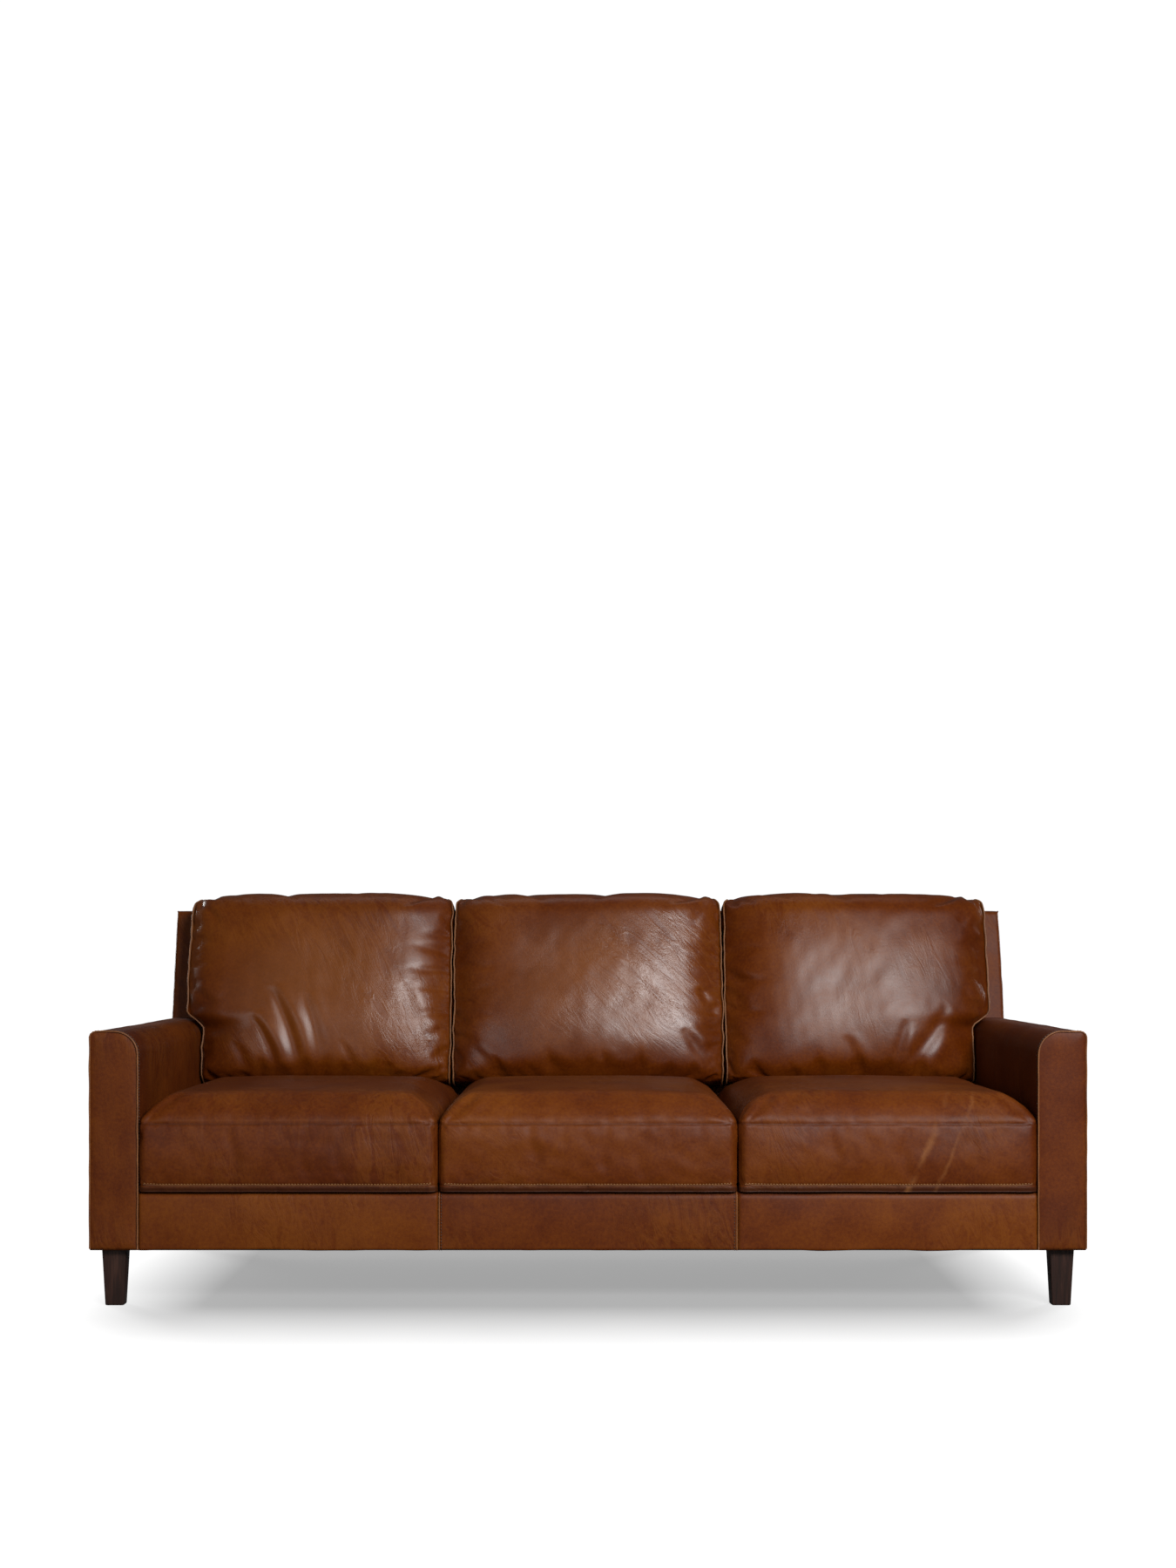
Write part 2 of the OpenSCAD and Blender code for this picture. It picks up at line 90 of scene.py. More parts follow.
def stretched(tree, place, scale, turn=(0, 0, 0), shift=(0, 0, 0)):
    """The coordinates turned, shifted and scaled, for a pattern that runs one way."""
    return add(tree, "Mapping", Vector=place, Scale=scale, Rotation=turn, Location=shift).outputs["Vector"]


def noise(tree, place, scale, detail=3.0, rough=0.5, twist=0.0):
    """Fractal noise from 0 to 1."""
    return add(tree, "TexNoise", Vector=place, Scale=scale, Detail=detail, Roughness=rough,
               Distortion=twist).outputs["Fac"]


def fitted(tree, value, low, high, out_low=0.0, out_high=1.0):
    """A value from low..high taken to out_low..out_high, and held there."""
    return add(tree, "MapRange", Value=value, From_Min=low, From_Max=high, To_Min=out_low,
               To_Max=out_high).outputs["Result"]


def graded(tree, value, *stops):
    """A colour that runs through (place, (r, g, b)) stops."""
    ramp = add(tree, "ValToRGB", Fac=value)
    bands = ramp.color_ramp.elements
    while len(bands) < len(stops):
        bands.new(0.5)
    for band, (at, colour) in zip(bands, stops):
        band.position = at
        band.color = (*colour, 1.0)
    return ramp.outputs["Color"]


def mixed(tree, share, a, b, blend="MIX"):
    """Two colours or sockets mixed by a share."""
    node = add(tree, "Mix", {"data_type": "RGBA", "blend_type": blend})
    for index, value in ((0, share), (6, a), (7, b)):
        if isinstance(value, bpy.types.NodeSocket):
            tree.links.new(value, node.inputs[index])
        elif index:
            node.inputs[index].default_value = (*value, 1.0)
        else:
            node.inputs[index].default_value = value
    return node.outputs[2]


def maths(tree, operation, a, b=0.0):
    """One sum on two values."""
    return add(tree, "Math", {"operation": operation}, _0=a, _1=b).outputs[0]


def bumped(tree, shader, height, depth, strength=1.0, under=None):
    """Relief of `depth` metres on the shader's normal, laid over another relief."""
    node = add(tree, "Bump", Height=height, Distance=depth, Strength=strength)
    if under is not None:
        tree.links.new(under.outputs["Normal"], node.inputs["Normal"])
    tree.links.new(node.outputs["Normal"], shader.inputs["Normal"])
    return node


def timber(name, along, pale, dark):
    """Board wood: long rings of growth drawn out along one axis, with pores and a little roughness."""
    material, tree, shader, place = new_material(name)
    squeeze = [26.0, 26.0, 26.0]
    squeeze[along] = 1.6
    grain = noise(tree, stretched(tree, place, squeeze), 1.0, 5.0, 0.6, 0.8)
    pores = noise(tree, stretched(tree, place, [s * 14 for s in squeeze]), 1.0, 2.0)
    tone = maths(tree, "ADD", maths(tree, "MULTIPLY", grain, 0.8), maths(tree, "MULTIPLY", pores, 0.2))
    shader.inputs["Specular IOR Level"].default_value = 0.3
    tree.links.new(graded(tree, tone, (0.32, dark), (0.62, pale)), shader.inputs["Base Color"])
    tree.links.new(fitted(tree, pores, 0.3, 0.7, 0.55, 0.75), shader.inputs["Roughness"])
    bumped(tree, shader, tone, 0.0006, 0.5)
    return material


def finish_node(node, material):
    """Gives a carried-over piece of the frame its finish."""
    thing = frame["nodes"][node]
    thing.data.materials.clear()
    thing.data.materials.append(material)


PALE_TIMBER, DARK_TIMBER = (0.62, 0.43, 0.25), (0.42, 0.26, 0.13)
timber_across = timber("timber_across", 0, PALE_TIMBER, DARK_TIMBER)
timber_deep = timber("timber_deep", 1, PALE_TIMBER, DARK_TIMBER)
timber_up = timber("timber_up", 2, PALE_TIMBER, DARK_TIMBER)
for node in ("front_rail", "rear_rail", "back_top_rail", "back_lower_rail"):
    finish_node(node, timber_across)
for node in ("left_side_rail", "right_side_rail", "left_arm_top_rail", "right_arm_top_rail", "cross_rails"):
    finish_node(node, timber_deep)
for node in ("left_arm_front_post", "right_arm_front_post", "left_arm_rear_post", "right_arm_rear_post",
             "left_back_post", "right_back_post", "inner_back_posts", "corner_blocks"):
    finish_node(node, timber_up)


# ---- Leg plates, bolts, screws and spring clips ----
# Pressed and turned mild steel, zinc plated: the plates are screwed under the corners,
# the bolts run up through them into the corner blocks, and the clips hold the springs.

def plated_steel(name, tint, rough):
    """Bright metal clouded with small grey blooms, and faint drawn lines."""
    material, tree, shader, place = new_material(name)
    bloom = noise(tree, place, 140.0, 4.0, 0.6)
    lines = noise(tree, stretched(tree, place, (30, 900, 900)), 1.0, 2.0)
    dull = [c * 0.72 for c in tint]
    tree.links.new(graded(tree, bloom, (0.35, dull), (0.65, tint)), shader.inputs["Base Color"])
    shader.inputs["Metallic"].default_value = 1.0
    tree.links.new(fitted(tree, bloom, 0.3, 0.7, rough, rough + 0.2), shader.inputs["Roughness"])
    bumped(tree, shader, lines, 0.0001, 0.3)
    return material


zinc = plated_steel("zinc", (0.62, 0.63, 0.6), 0.28)
for node in ("leg_plates", "leg_bolts", "plate_screws", "spring_clips"):
    finish_node(node, zinc)


# ---- Seat springs and their tie wires ----
# Sinuous springs of oil-tempered wire, five to a seat, clipped to the front and rear
# rails. Two straight wires run across all of them and share out the load.

spring_steel = plated_steel("spring_steel", (0.16, 0.15, 0.16), 0.34)
for node in ("left_seat_springs", "centre_seat_springs", "right_seat_springs", "spring_tie_wires"):
    finish_node(node, spring_steel)


# ---- Webbing, spring cloth, seat deck and dust cover ----
# Elastic straps up the back, a black cloth over the springs, a brown woven deck under the
# cushions, and a black cloth stapled to the underside that keeps dust out.

def woven(name, colour, threads, axes=(0, 1)):
    """Plain weave: two sets of threads, each a wave across its own axis, over and under by turns."""
    material, tree, shader, place = new_material(name)
    parts = add(tree, "SeparateXYZ", Vector=place).outputs
    across = maths(tree, "SINE", maths(tree, "MULTIPLY", parts[axes[0]], threads))
    along = maths(tree, "SINE", maths(tree, "MULTIPLY", parts[axes[1]], threads))
    relief = maths(tree, "MULTIPLY", across, along)
    wear = noise(tree, place, 9.0, 4.0)
    dark = [c * 0.6 for c in colour]
    light = [min(1.0, c * 1.5) for c in colour]
    # The colour follows the weave's relief, paler where threads rise and darker where they dip: painted highlight
    # and shade.
    base = graded(tree, fitted(tree, relief, -1.0, 1.0), (0.0, dark), (1.0, light))
    faded = mixed(tree, fitted(tree, wear, 0.35, 0.75, 0.0, 0.35), base, light)
    tree.links.new(faded, shader.inputs["Base Color"])
    shader.inputs["Roughness"].default_value = 0.9
    shader.inputs["Sheen Weight"].default_value = 0.15
    bumped(tree, shader, relief, 0.0003, 0.6)
    return material


finish_node("back_webbing", woven("webbing", (0.085, 0.075, 0.07), 2600.0, (0, 2)))
finish_node("spring_cloth", woven("spring_cloth", (0.025, 0.025, 0.027), 4200.0))
finish_node("seat_deck", woven("deck_cloth", (0.085, 0.038, 0.018), 3600.0))
finish_node("dust_cover", woven("dust_cloth", (0.018, 0.018, 0.019), 4200.0))


# ---- Foam and fibre ----
# Cream foam blocks in the seats and over the frame, and white ticking bags of fibre in
# the back cushions. They are cut or sewn to fill their covers.

def foam(name, colour, cells=420.0):
    """Open-cell foam: fine round pits over a colour that has yellowed in soft patches."""
    material, tree, shader, place = new_material(name)
    pits = add(tree, "TexVoronoi", Vector=place, Scale=cells).outputs["Distance"]
    patches = noise(tree, place, 5.0, 4.0)
    aged = (colour[0] * 0.95, colour[1] * 0.82, colour[2] * 0.6)
    base = graded(tree, patches, (0.35, colour), (0.75, aged))
    shaded = mixed(tree, fitted(tree, pits, 0.1, 0.7, 0.35, 0.0), base, [c * 0.5 for c in colour])
    tree.links.new(shaded, shader.inputs["Base Color"])
    shader.inputs["Roughness"].default_value = 0.95
    bumped(tree, shader, pits, 0.0008, 0.5)
    return material


foam_finish = foam("foam", (0.74, 0.64, 0.4))
ticking = woven("ticking", (0.55, 0.53, 0.49), 3000.0, (0, 2))
for node in ("left_arm_padding", "right_arm_padding", "rail_padding", "back_padding"):
    finish_node(node, foam_finish)


# ---- Front rail ----
# Three leather panels over foam, sewn end to end with two upright seams and stapled
# under the front rail. Each rolls softly over the rail's top edge.

def leather(name, warmth=0.5, seed=0.0, lines=(0, 0, 0), scuffs=None, rough=0.54, specular=0.16):
    """Pull-up leather: brown that clouds from red to gold, a fine pebbled grain, faint drawn-out
    neck wrinkles, and a point attribute that pales it where it is pulled and where a painted highlight lies on
    ridges, and darkens its folds, seams and gaps with painted shade."""
    material, tree, shader, place = new_material(name)
    offset = stretched(tree, place, (1, 1, 1), shift=(seed * 3.7, seed * 1.9, seed * 5.3))
    clouds = noise(tree, offset, 2.4, 3.0, 0.5, 0.7)
    blotches = noise(tree, offset, 9.0, 6.0, 0.62, 0.4)
    flecks = noise(tree, offset, 150.0, 5.0, 0.65)
    tone = maths(tree, "ADD", maths(tree, "MULTIPLY", clouds, 0.34), maths(tree, "MULTIPLY", blotches, 0.30))
    tone = maths(tree, "ADD", tone, maths(tree, "MULTIPLY", flecks, 0.30))
    tone = maths(tree, "ADD", tone, 0.03 + (warmth - 0.5) * 0.22)
    base = graded(tree, tone,
                  (0.32, (0.047, 0.0068, 0.0005)),
                  (0.45, (0.079, 0.0138, 0.0006)),
                  (0.53, (0.106, 0.0212, 0.0007)),
                  (0.66, (0.147, 0.0355, 0.0009)))
    drawn = stretched(tree, offset, (2.2, 2.2, 2.2), turn=lines)
    wavy = noise(tree, stretched(tree, drawn, (1.0, 1.0, 0.2)), 15.0, 5.0, 0.62, 0.9)
    wrinkle = maths(tree, "SUBTRACT", 1.0, maths(tree, "MULTIPLY", maths(tree, "ABSOLUTE",
                    maths(tree, "SUBTRACT", wavy, 0.5)), 9.0))
    wrinkle = add(tree, "Clamp", Value=wrinkle).outputs[0]
    wrinkle = maths(tree, "MULTIPLY", wrinkle, fitted(tree, noise(tree, offset, 3.1, 2.0), 0.45, 0.62))
    base = mixed(tree, maths(tree, "MULTIPLY", wrinkle, 0.26), base, (0.20, 0.060, 0.005))
    stretch = add(tree, "Attribute", {"attribute_name": "stretch"}).outputs["Fac"]
    # Above 0 the leather pales, partly as pulled pull-up leather and partly as a painted highlight on ridges; below
    # 0 it darkens to near black as painted shade in folds, seams and gaps.
    base = mixed(tree, fitted(tree, stretch, 0.08, 1.0, 0.0, 0.45), base, (0.25, 0.080, 0.012))
    base = mixed(tree, fitted(tree, stretch, -0.08, -1.0, 0.0, 0.75), base, (0.018, 0.005, 0.002))
    if scuffs:
        base = scuffs(tree, place, base)
    tree.links.new(base, shader.inputs["Base Color"])
    tree.links.new(fitted(tree, blotches, 0.3, 0.7, rough - 0.05, rough + 0.05), shader.inputs["Roughness"])
    shader.inputs["Specular IOR Level"].default_value = specular
    pebbles = add(tree, "TexVoronoi", {"feature": "SMOOTH_F1"}, Vector=offset, Scale=560.0,
                  Smoothness=0.6).outputs["Distance"]
    under = bumped(tree, shader, wrinkle, 0.0006, 0.6)
    under = bumped(tree, shader, flecks, 0.0005, 0.35, under)
    bumped(tree, shader, pebbles, 0.00022, 0.5, under)
    return material


def ripple(points, size, seed, waves=16):
    """Smooth relief of about -1 to 1: the sum of sine waves of about `size`, each in a random direction."""
    rng = np.random.default_rng(seed)
    heading = rng.normal(size=(3, waves))
    heading /= np.linalg.norm(heading, axis=0)
    length = size * rng.uniform(0.7, 1.7, waves)
    return np.sin(2 * np.pi * (points @ heading) / length + rng.uniform(0, 6.28, waves)).mean(-1) * 2.6


def bell(distance, width):
    """1 at no distance, falling away as a normal curve `width` wide."""
    return np.exp(-(distance / width) ** 2)


def mesh_piece(name, points, faces, body, material, smooth=True):
    """A piece made from points and faces that rides on a body."""
    mesh = bpy.data.meshes.new(name)
    mesh.from_pydata(np.asarray(points, float).reshape(-1, 3).tolist(), [], faces)
    mesh.polygons.foreach_set("use_smooth", np.full(len(mesh.polygons), smooth))
    mesh.materials.append(material)
    thing = bpy.data.objects.new(name, mesh)
    scene.collection.objects.link(thing)
    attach(thing, body)
    return thing


def grid_faces(rows, columns, wrap_rows=False, wrap_columns=False):
    """Quads between the points of a grid, joined round where it wraps."""
    k = np.arange(rows * columns).reshape(rows, columns)
    if wrap_rows:
        k = np.vstack([k, k[:1]])
    if wrap_columns:
        k = np.hstack([k, k[:, :1]])
    return np.stack([k[:-1, :-1], k[1:, :-1], k[1:, 1:], k[:-1, 1:]], -1).reshape(-1, 4)


def normals_of(points):
    """Unit normals of a (rows, columns, 3) grid: its slope along rows crossed with that along columns."""
    n = np.cross(np.gradient(points, axis=0), np.gradient(points, axis=1))
    return n / np.maximum(np.linalg.norm(n, axis=-1, keepdims=True), 1e-12)


def hide(name, points, body, material, replaces=(), thickness=0.002, relief=0.0, stretch=None):
    """A sheet of leather worked out on a grid, its outer face the grid itself, with a wall behind it.
    Rows crossed with columns face outwards. It waves in and out by `relief`, which fades over the
    three outermost rows."""
    edge = np.minimum.outer(*[np.minimum(np.arange(n), np.arange(n)[::-1]) for n in points.shape[:2]])
    soft = np.clip(edge / 3.0, 0, 1)[..., None]
    points = points + normals_of(points) * (ripple(points, 0.11, 5) * relief)[..., None] * soft
    thing = mesh_piece(name, points, grid_faces(*points.shape[:2]).tolist(), body, material)
    shade = thing.data.attributes.new("stretch", "FLOAT", "POINT")
    if stretch is not None:
        shade.data.foreach_set("value", np.asarray(stretch, np.float32).ravel())
    wall = thing.modifiers.new("Wall", "SOLIDIFY")
    wall.thickness = thickness
    wall.offset = -1
    if replaces:
        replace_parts(thing, *replaces)
    return thing


def along(path, pitch, ends=0.0):
    """Places spaced `pitch` apart along a path of points: a way to read any array at them."""
    run = np.concatenate([[0], np.cumsum(np.linalg.norm(np.diff(path, axis=0), axis=1))])
    places = np.arange(ends + pitch / 2, run[-1] - ends, pitch)
    return lambda values, shift=0.0: np.stack(
        [np.interp(places + shift, run, values[:, c]) for c in range(values.shape[1])], 1)


def unit(vectors):
    """Each vector at length 1."""
    return vectors / np.maximum(np.linalg.norm(vectors, axis=-1, keepdims=True), 1e-12)


thread_pitch, thread_length, thread_radius = 0.0068, 0.0046, 0.00095


def stitches(name, path, out, body, material, lift=0.0002):
    """A row of stitches along a path that has a normal at each point: short threads, each a six-sided
    tube that thickens towards its middle."""
    read = along(path, thread_pitch)
    middle = read(path)
    run = unit(read(path, thread_length / 2) - read(path, -thread_length / 2))
    up = unit(read(out))
    side = np.cross(run, up)
    rings = np.array([(-0.5, 0.25), (-0.36, 0.85), (0.0, 1.15), (0.36, 0.85), (0.5, 0.25)])
    turns = np.linspace(0, 2 * np.pi, 6, endpoint=False)
    round_ = np.cos(turns)[:, None, None] * up + np.sin(turns)[:, None, None] * side
    points = (middle + up * lift)[None, None] + rings[:, 0, None, None, None] * thread_length * run \
        + rings[:, 1, None, None, None] * thread_radius * round_
    points = points.transpose(2, 0, 1, 3).reshape(-1, 3)
    count = len(rings) * len(turns)
    sides = grid_faces(len(rings), len(turns), wrap_columns=True)[:, ::-1]
    caps = np.array([[0, 1, 2, 3], [0, 3, 4, 5]])
    one = np.vstack([sides, caps, (caps + count - 6)[:, ::-1]])
    faces = (one[None] + (np.arange(len(middle)) * count)[:, None, None]).reshape(-1, 4)
    return mesh_piece(name, points, faces.tolist(), body, material)


def thread(name, colour):
    """Twisted bonded thread."""
    material, tree, shader, place = new_material(name)
    ply = noise(tree, stretched(tree, place, (900, 900, 900)), 1.0, 2.0)
    dark = [c * 0.55 for c in colour]
    tree.links.new(graded(tree, ply, (0.35, dark), (0.65, colour)), shader.inputs["Base Color"])
    shader.inputs["Roughness"].default_value = 0.55
    bumped(tree, shader, ply, 0.0002, 0.5)
    return material


def cut_edge(name, colour):
    """The raw edge of leather: pale fibres, burnished unevenly along the seam."""
    material, tree, shader, place = new_material(name)
    fibres = noise(tree, place, 420.0, 4.0)
    burnish = noise(tree, place, 26.0, 3.0)
    dark = (colour[0] * 0.5, colour[1] * 0.4, colour[2] * 0.35)
    tone = maths(tree, "ADD", maths(tree, "MULTIPLY", fibres, 0.4), maths(tree, "MULTIPLY", burnish, 0.6))
    tree.links.new(graded(tree, tone, (0.34, dark), (0.62, colour)), shader.inputs["Base Color"])
    shader.inputs["Roughness"].default_value = 0.6
    bumped(tree, shader, fibres, 0.0004, 0.6)
    return material


dark_thread = thread("dark_thread", (0.055, 0.022, 0.012))
gold_thread = thread("gold_thread", (0.30, 0.135, 0.036))
raw_edge = cut_edge("raw_edge", (0.20, 0.078, 0.022))
waxed_edge = cut_edge("waxed_edge", (0.21, 0.074, 0.016))


def welt(name, path, out, body, width=0.004, thickness=0.0026, sway=0.0, closed=False, material=None):
    """A strip of doubled leather edge that stands out from a seam: a flat, round-edged outline of eight
    points carried along the path, `width` out along the normals, swaying a little from side to side."""
    out = unit(out)
    run = unit(np.gradient(path, axis=0)) if not closed else unit(np.roll(path, -1, 0) - np.roll(path, 1, 0))
    side = unit(np.cross(run, out))
    turns = np.linspace(0, 2 * np.pi, 8, endpoint=False)
    width = np.broadcast_to(width, len(path))[:, None]
    reach = np.where(np.cos(turns) > 0.1, width - thickness / 2 + np.cos(turns) * thickness / 2,
                     -0.002 + 0 * turns)
    spread = np.sign(np.round(np.sin(turns), 3)) * np.minimum(1, np.abs(np.sin(turns)) * 1.25) * thickness / 2
    swing = (ripple(path, 0.05, 11) * sway)[:, None]
    points = path[:, None] + out[:, None] * reach[..., None] \
        + side[:, None] * (spread[None, :, None] + (swing * (reach > 0))[..., None])
    faces = grid_faces(len(path), 8, wrap_rows=closed, wrap_columns=True)[:, ::-1].tolist()
    if not closed:
        faces += [list(range(8)), [len(path) * 8 - 8 + k for k in range(7, -1, -1)]]
    return mesh_piece(name, points, faces, body, material or raw_edge)


rail_low, rail_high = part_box("centre_rail_cover")
seam_x = rail_high.x + 0.0002
seat_pitch = 2 * seam_x
base_z = rail_low.z
rail_roll = 0.014
rail_bulge = 0.0035


def rail_outline(count=48):
    """Side outline of a rail panel as y, z: under the rail, up its front and over its top in a round."""
    y0, y1, z0, z1 = rail_low.y, rail_high.y, rail_low.z, rail_high.z
    foot, r = 0.0015, rail_roll
    t = np.linspace(0, QUARTER, 8)
    y = np.concatenate([[y0 + 0.03], y0 + foot * (1 - np.sin(t)), [y0] * 14,
                        y0 + r * (1 - np.cos(t)), np.linspace(y0 + r, y1, 8)[1:]])
    z = np.concatenate([[z0], z0 + foot * (1 - np.cos(t)), np.linspace(z0 + foot, z1 - r, 16)[1:-1],
                        z1 - r * (1 - np.sin(t)), [z1] * 7])
    run = np.concatenate([[0], np.cumsum(np.hypot(np.diff(y), np.diff(z)))])
    even = np.linspace(0, run[-1], count)
    return np.interp(even, run, y), np.interp(even, run, z)


rail_tones = {LEFT: ("rail_leather_left", 0.72, 1.0), CENTRE: ("rail_leather_centre", 0.42, 2.0),
              RIGHT: ("rail_leather_right", 0.5, 3.0)}
for seat, name in SIDE_NAMES.items():
    x0, x1 = (seat - 0.5) * seat_pitch + 0.0001, (seat + 0.5) * seat_pitch - 0.0001
    columns = 96
    x = np.linspace(x0, x1, columns)
    y, z = rail_outline()
    ends = np.clip((x - x0) * (x1 - x) / (0.03 * (x1 - x0)), 0, 1) ** 0.6
    puff = rail_bulge * np.sin(np.pi * np.clip((z - base_z) / (rail_high.z - base_z), 0, 1))[:, None] * ends
    pulled = 0.0012 * bell(np.minimum(x - x0, x1 - x), 0.004)
    points = np.stack([np.broadcast_to(x, (len(y), columns)), y[:, None] - puff + pulled,
                       np.broadcast_to(z[:, None], (len(y), columns))], -1)
    sag = 0.0016 * ripple(points[..., :1] * [[[1, 0, 0]]], 0.16, 31 + seat) * bell(z - base_z, 0.03)[:, None]
    points[..., 2] += sag
    # Paler at each panel's ends by the seams; darker along the top roll, under the seat cushions' lip: a painted
    # shadow.
    pale_and_shade = 0.5 * bell(np.minimum(x - x0, x1 - x), 0.004) - 0.9 * bell(z - rail_high.z, 0.006)[:, None]
    label, warmth, seed = rail_tones[seat]
    finish = leather(label, warmth, seed, lines=(0.2, 0.15, 0))
    hide(f"{name}_rail_panel", points[:, ::-1], "frame", finish, [f"{name}_rail_cover"], relief=0.0009,
         stretch=pale_and_shade[:, ::-1])

for side in (LEFT, RIGHT):
    y, z = rail_outline()
    keep = slice(4, 40)
    path = np.stack([np.full(len(y), side * seam_x - side * 0.0075), y - 0.0012, z], 1)[keep]
    facing = unit(np.stack([0 * y, np.gradient(z), -np.gradient(y)], 1))[keep] * [1, -1, -1]
    stitches(f"rail_seam_stitches_{SIDE_NAMES[side]}", path, facing, "frame", dark_thread)
    path[:, 0] = side * (seam_x - 0.0028)
    welt(f"rail_seam_ridge_{SIDE_NAMES[side]}", path, facing, "frame", width=0.0008, thickness=0.0026,
         material=waxed_edge)


# ---- Seat cushions ----
# Three loose box cushions: leather over a foam block wrapped in fibre. Each has a top panel
# rolled over at the front, a boxing band between two stitched seams, and an underside.

def block_skin(cells):
    """The skin of a block of cells: whole-number places of its points, and quads that face outwards."""
    places, quads, start = [], [], 0
    for axis in range(3):
        u, v = (axis + 1) % 3, (axis + 2) % 3
        a, b = np.meshgrid(np.arange(cells[u] + 1), np.arange(cells[v] + 1), indexing="ij")
        for level in (0, cells[axis]):
            place = np.zeros((*a.shape, 3), int)
            place[..., u], place[..., v], place[..., axis] = a, b, level
            faces = grid_faces(*a.shape)
            places.append(place.reshape(-1, 3))
            quads.append((faces if level else faces[:, ::-1]) + start)
            start += a.size
    places, weld = np.unique(np.concatenate(places), axis=0, return_inverse=True)
    return places, weld.reshape(-1)[np.concatenate(quads)]


def rounded_corners(a, b, low_a, high_a, low_b, high_b, radii):
    """Points of a square-cornered grid with each corner drawn in to an arc: the square at the corner goes
    to a quarter disc by a *= sqrt(1 - b*b/2) and b *= sqrt(1 - a*a/2). The radii are those of the corners
    low-low, high-low, low-high and high-high."""
    a, b = a.copy(), b.copy()
    for index, (high_side_a, high_side_b) in enumerate(((0, 0), (1, 0), (0, 1), (1, 1))):
        r = np.maximum(radii[index], 1e-6)
        sign_a, sign_b = 2 * high_side_a - 1, 2 * high_side_b - 1
        centre_a = (high_a if high_side_a else low_a) - sign_a * r
        centre_b = (high_b if high_side_b else low_b) - sign_b * r
        p, q = sign_a * (a - centre_a) / r, sign_b * (b - centre_b) / r
        near = (p > 0) & (q > 0)
        p, q = np.clip(p, 0, 1), np.clip(q, 0, 1)
        a = np.where(near, centre_a + sign_a * r * p * np.sqrt(1 - q * q / 2), a)
        b = np.where(near, centre_b + sign_b * r * q * np.sqrt(1 - p * p / 2), b)
    return a, b


def coordinates(mesh, what="co"):
    """Positions, or normals, of a mesh's points."""
    values = np.empty(len(mesh.vertices) * 3, np.float32)
    mesh.vertices.foreach_get(what, values)
    return values.reshape(-1, 3).astype(float)


def evaluated(thing):
    """The mesh as its modifiers leave it now."""
    return thing.evaluated_get(bpy.context.evaluated_depsgraph_get())


def puffed(thing, pinned, pressure, slack, cap, frames=20):
    """Fills a closed skin with air in a cloth simulation, with its seams held. Each point may move by up
    to about `cap`, worked out as cap * tanh(move / cap)."""
    group = thing.vertex_groups.new(name="Held")
    group.add(pinned.tolist(), 1.0, "REPLACE")
    cloth = thing.modifiers.new("Cloth", "CLOTH")
    settings = cloth.settings
    settings.quality = 5
    settings.mass = 0.25
    settings.tension_stiffness = settings.compression_stiffness = 12
    settings.shear_stiffness = 6
    settings.bending_stiffness = 1.5
    settings.use_pressure = True
    settings.uniform_pressure_force = pressure
    settings.vertex_group_mass = "Held"
    settings.shrink_min = -slack
    settings.effector_weights.gravity = 0
    cloth.point_cache.frame_start, cloth.point_cache.frame_end = 1, frames
    for frame_number in range(1, frames + 1):
        scene.frame_set(frame_number)
    after = coordinates(evaluated(thing).data)
    scene.frame_set(1)
    thing.modifiers.remove(cloth)
    thing.vertex_groups.remove(group)
    before = coordinates(thing.data)
    move = after - before
    length = np.maximum(np.linalg.norm(move, axis=1, keepdims=True), 1e-9)
    set_points(thing.data, before + move * cap * np.tanh(length / cap) / length)


def set_points(mesh, points):
    """Writes a mesh's points back."""
    mesh.vertices.foreach_set("co", np.ascontiguousarray(points, np.float32).ravel())
    mesh.update()


def subdivided(thing):
    """Splits every quad in four and smooths. The first points stay the ones of the coarse mesh."""
    finer = thing.modifiers.new("Finer", "SUBSURF")
    finer.levels = finer.render_levels = 1
    mesh = bpy.data.meshes.new_from_object(evaluated(thing))
    thing.modifiers.remove(finer)
    thing.data = mesh


def near_mean(mesh, values, rounds=1):
    """Values evened out with those of the neighbouring points."""
    ends = np.empty(len(mesh.edges) * 2, np.int32)
    mesh.edges.foreach_get("vertices", ends)
    a, b = ends.reshape(-1, 2).T
    count = np.bincount(ends, minlength=len(mesh.vertices))
    values = values.reshape(len(mesh.vertices), -1)
    for _ in range(rounds):
        total = np.stack([np.bincount(a, v[b], len(v)) + np.bincount(b, v[a], len(v)) for v in values.T], 1)
        values = total / np.maximum(count, 1)[:, None]
    return values


def shade_by_bend(mesh, gain=0.03, extra=0.0):
    """Writes the leather's shading attribute: how far each point stands out from the mean of those around it, in
    millimetres, times gain, plus an extra. Ridges come out above 0 and creases below: the creases take painted
    shade, and the ridges pale as pulled leather and as a painted highlight."""
    points = coordinates(mesh)
    out = coordinates(mesh, "normal")
    wide = near_mean(mesh, points, 5)
    bend = ((points - wide) * out).sum(1) / 0.001
    bend = near_mean(mesh, bend, 1)[:, 0] * gain + extra
    shade = mesh.attributes.get("stretch") or mesh.attributes.new("stretch", "FLOAT", "POINT")
    shade.data.foreach_set("value", bend.astype(np.float32))


def filling(name, cover, coarse, quads, body, material, node):
    """What fills a cover: the cover's own shape, moved in by 3 mm, evened out and moved in by 4 mm more."""
    points, out = coordinates(cover.data)[:coarse], coordinates(cover.data, "normal")[:coarse]
    thing = mesh_piece(name, points - out * 0.003, quads.tolist(), body, material)
    points = near_mean(thing.data, coordinates(thing.data), 8)
    set_points(thing.data, points)
    set_points(thing.data, points - coordinates(thing.data, "normal") * 0.004)
    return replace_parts(thing, node)


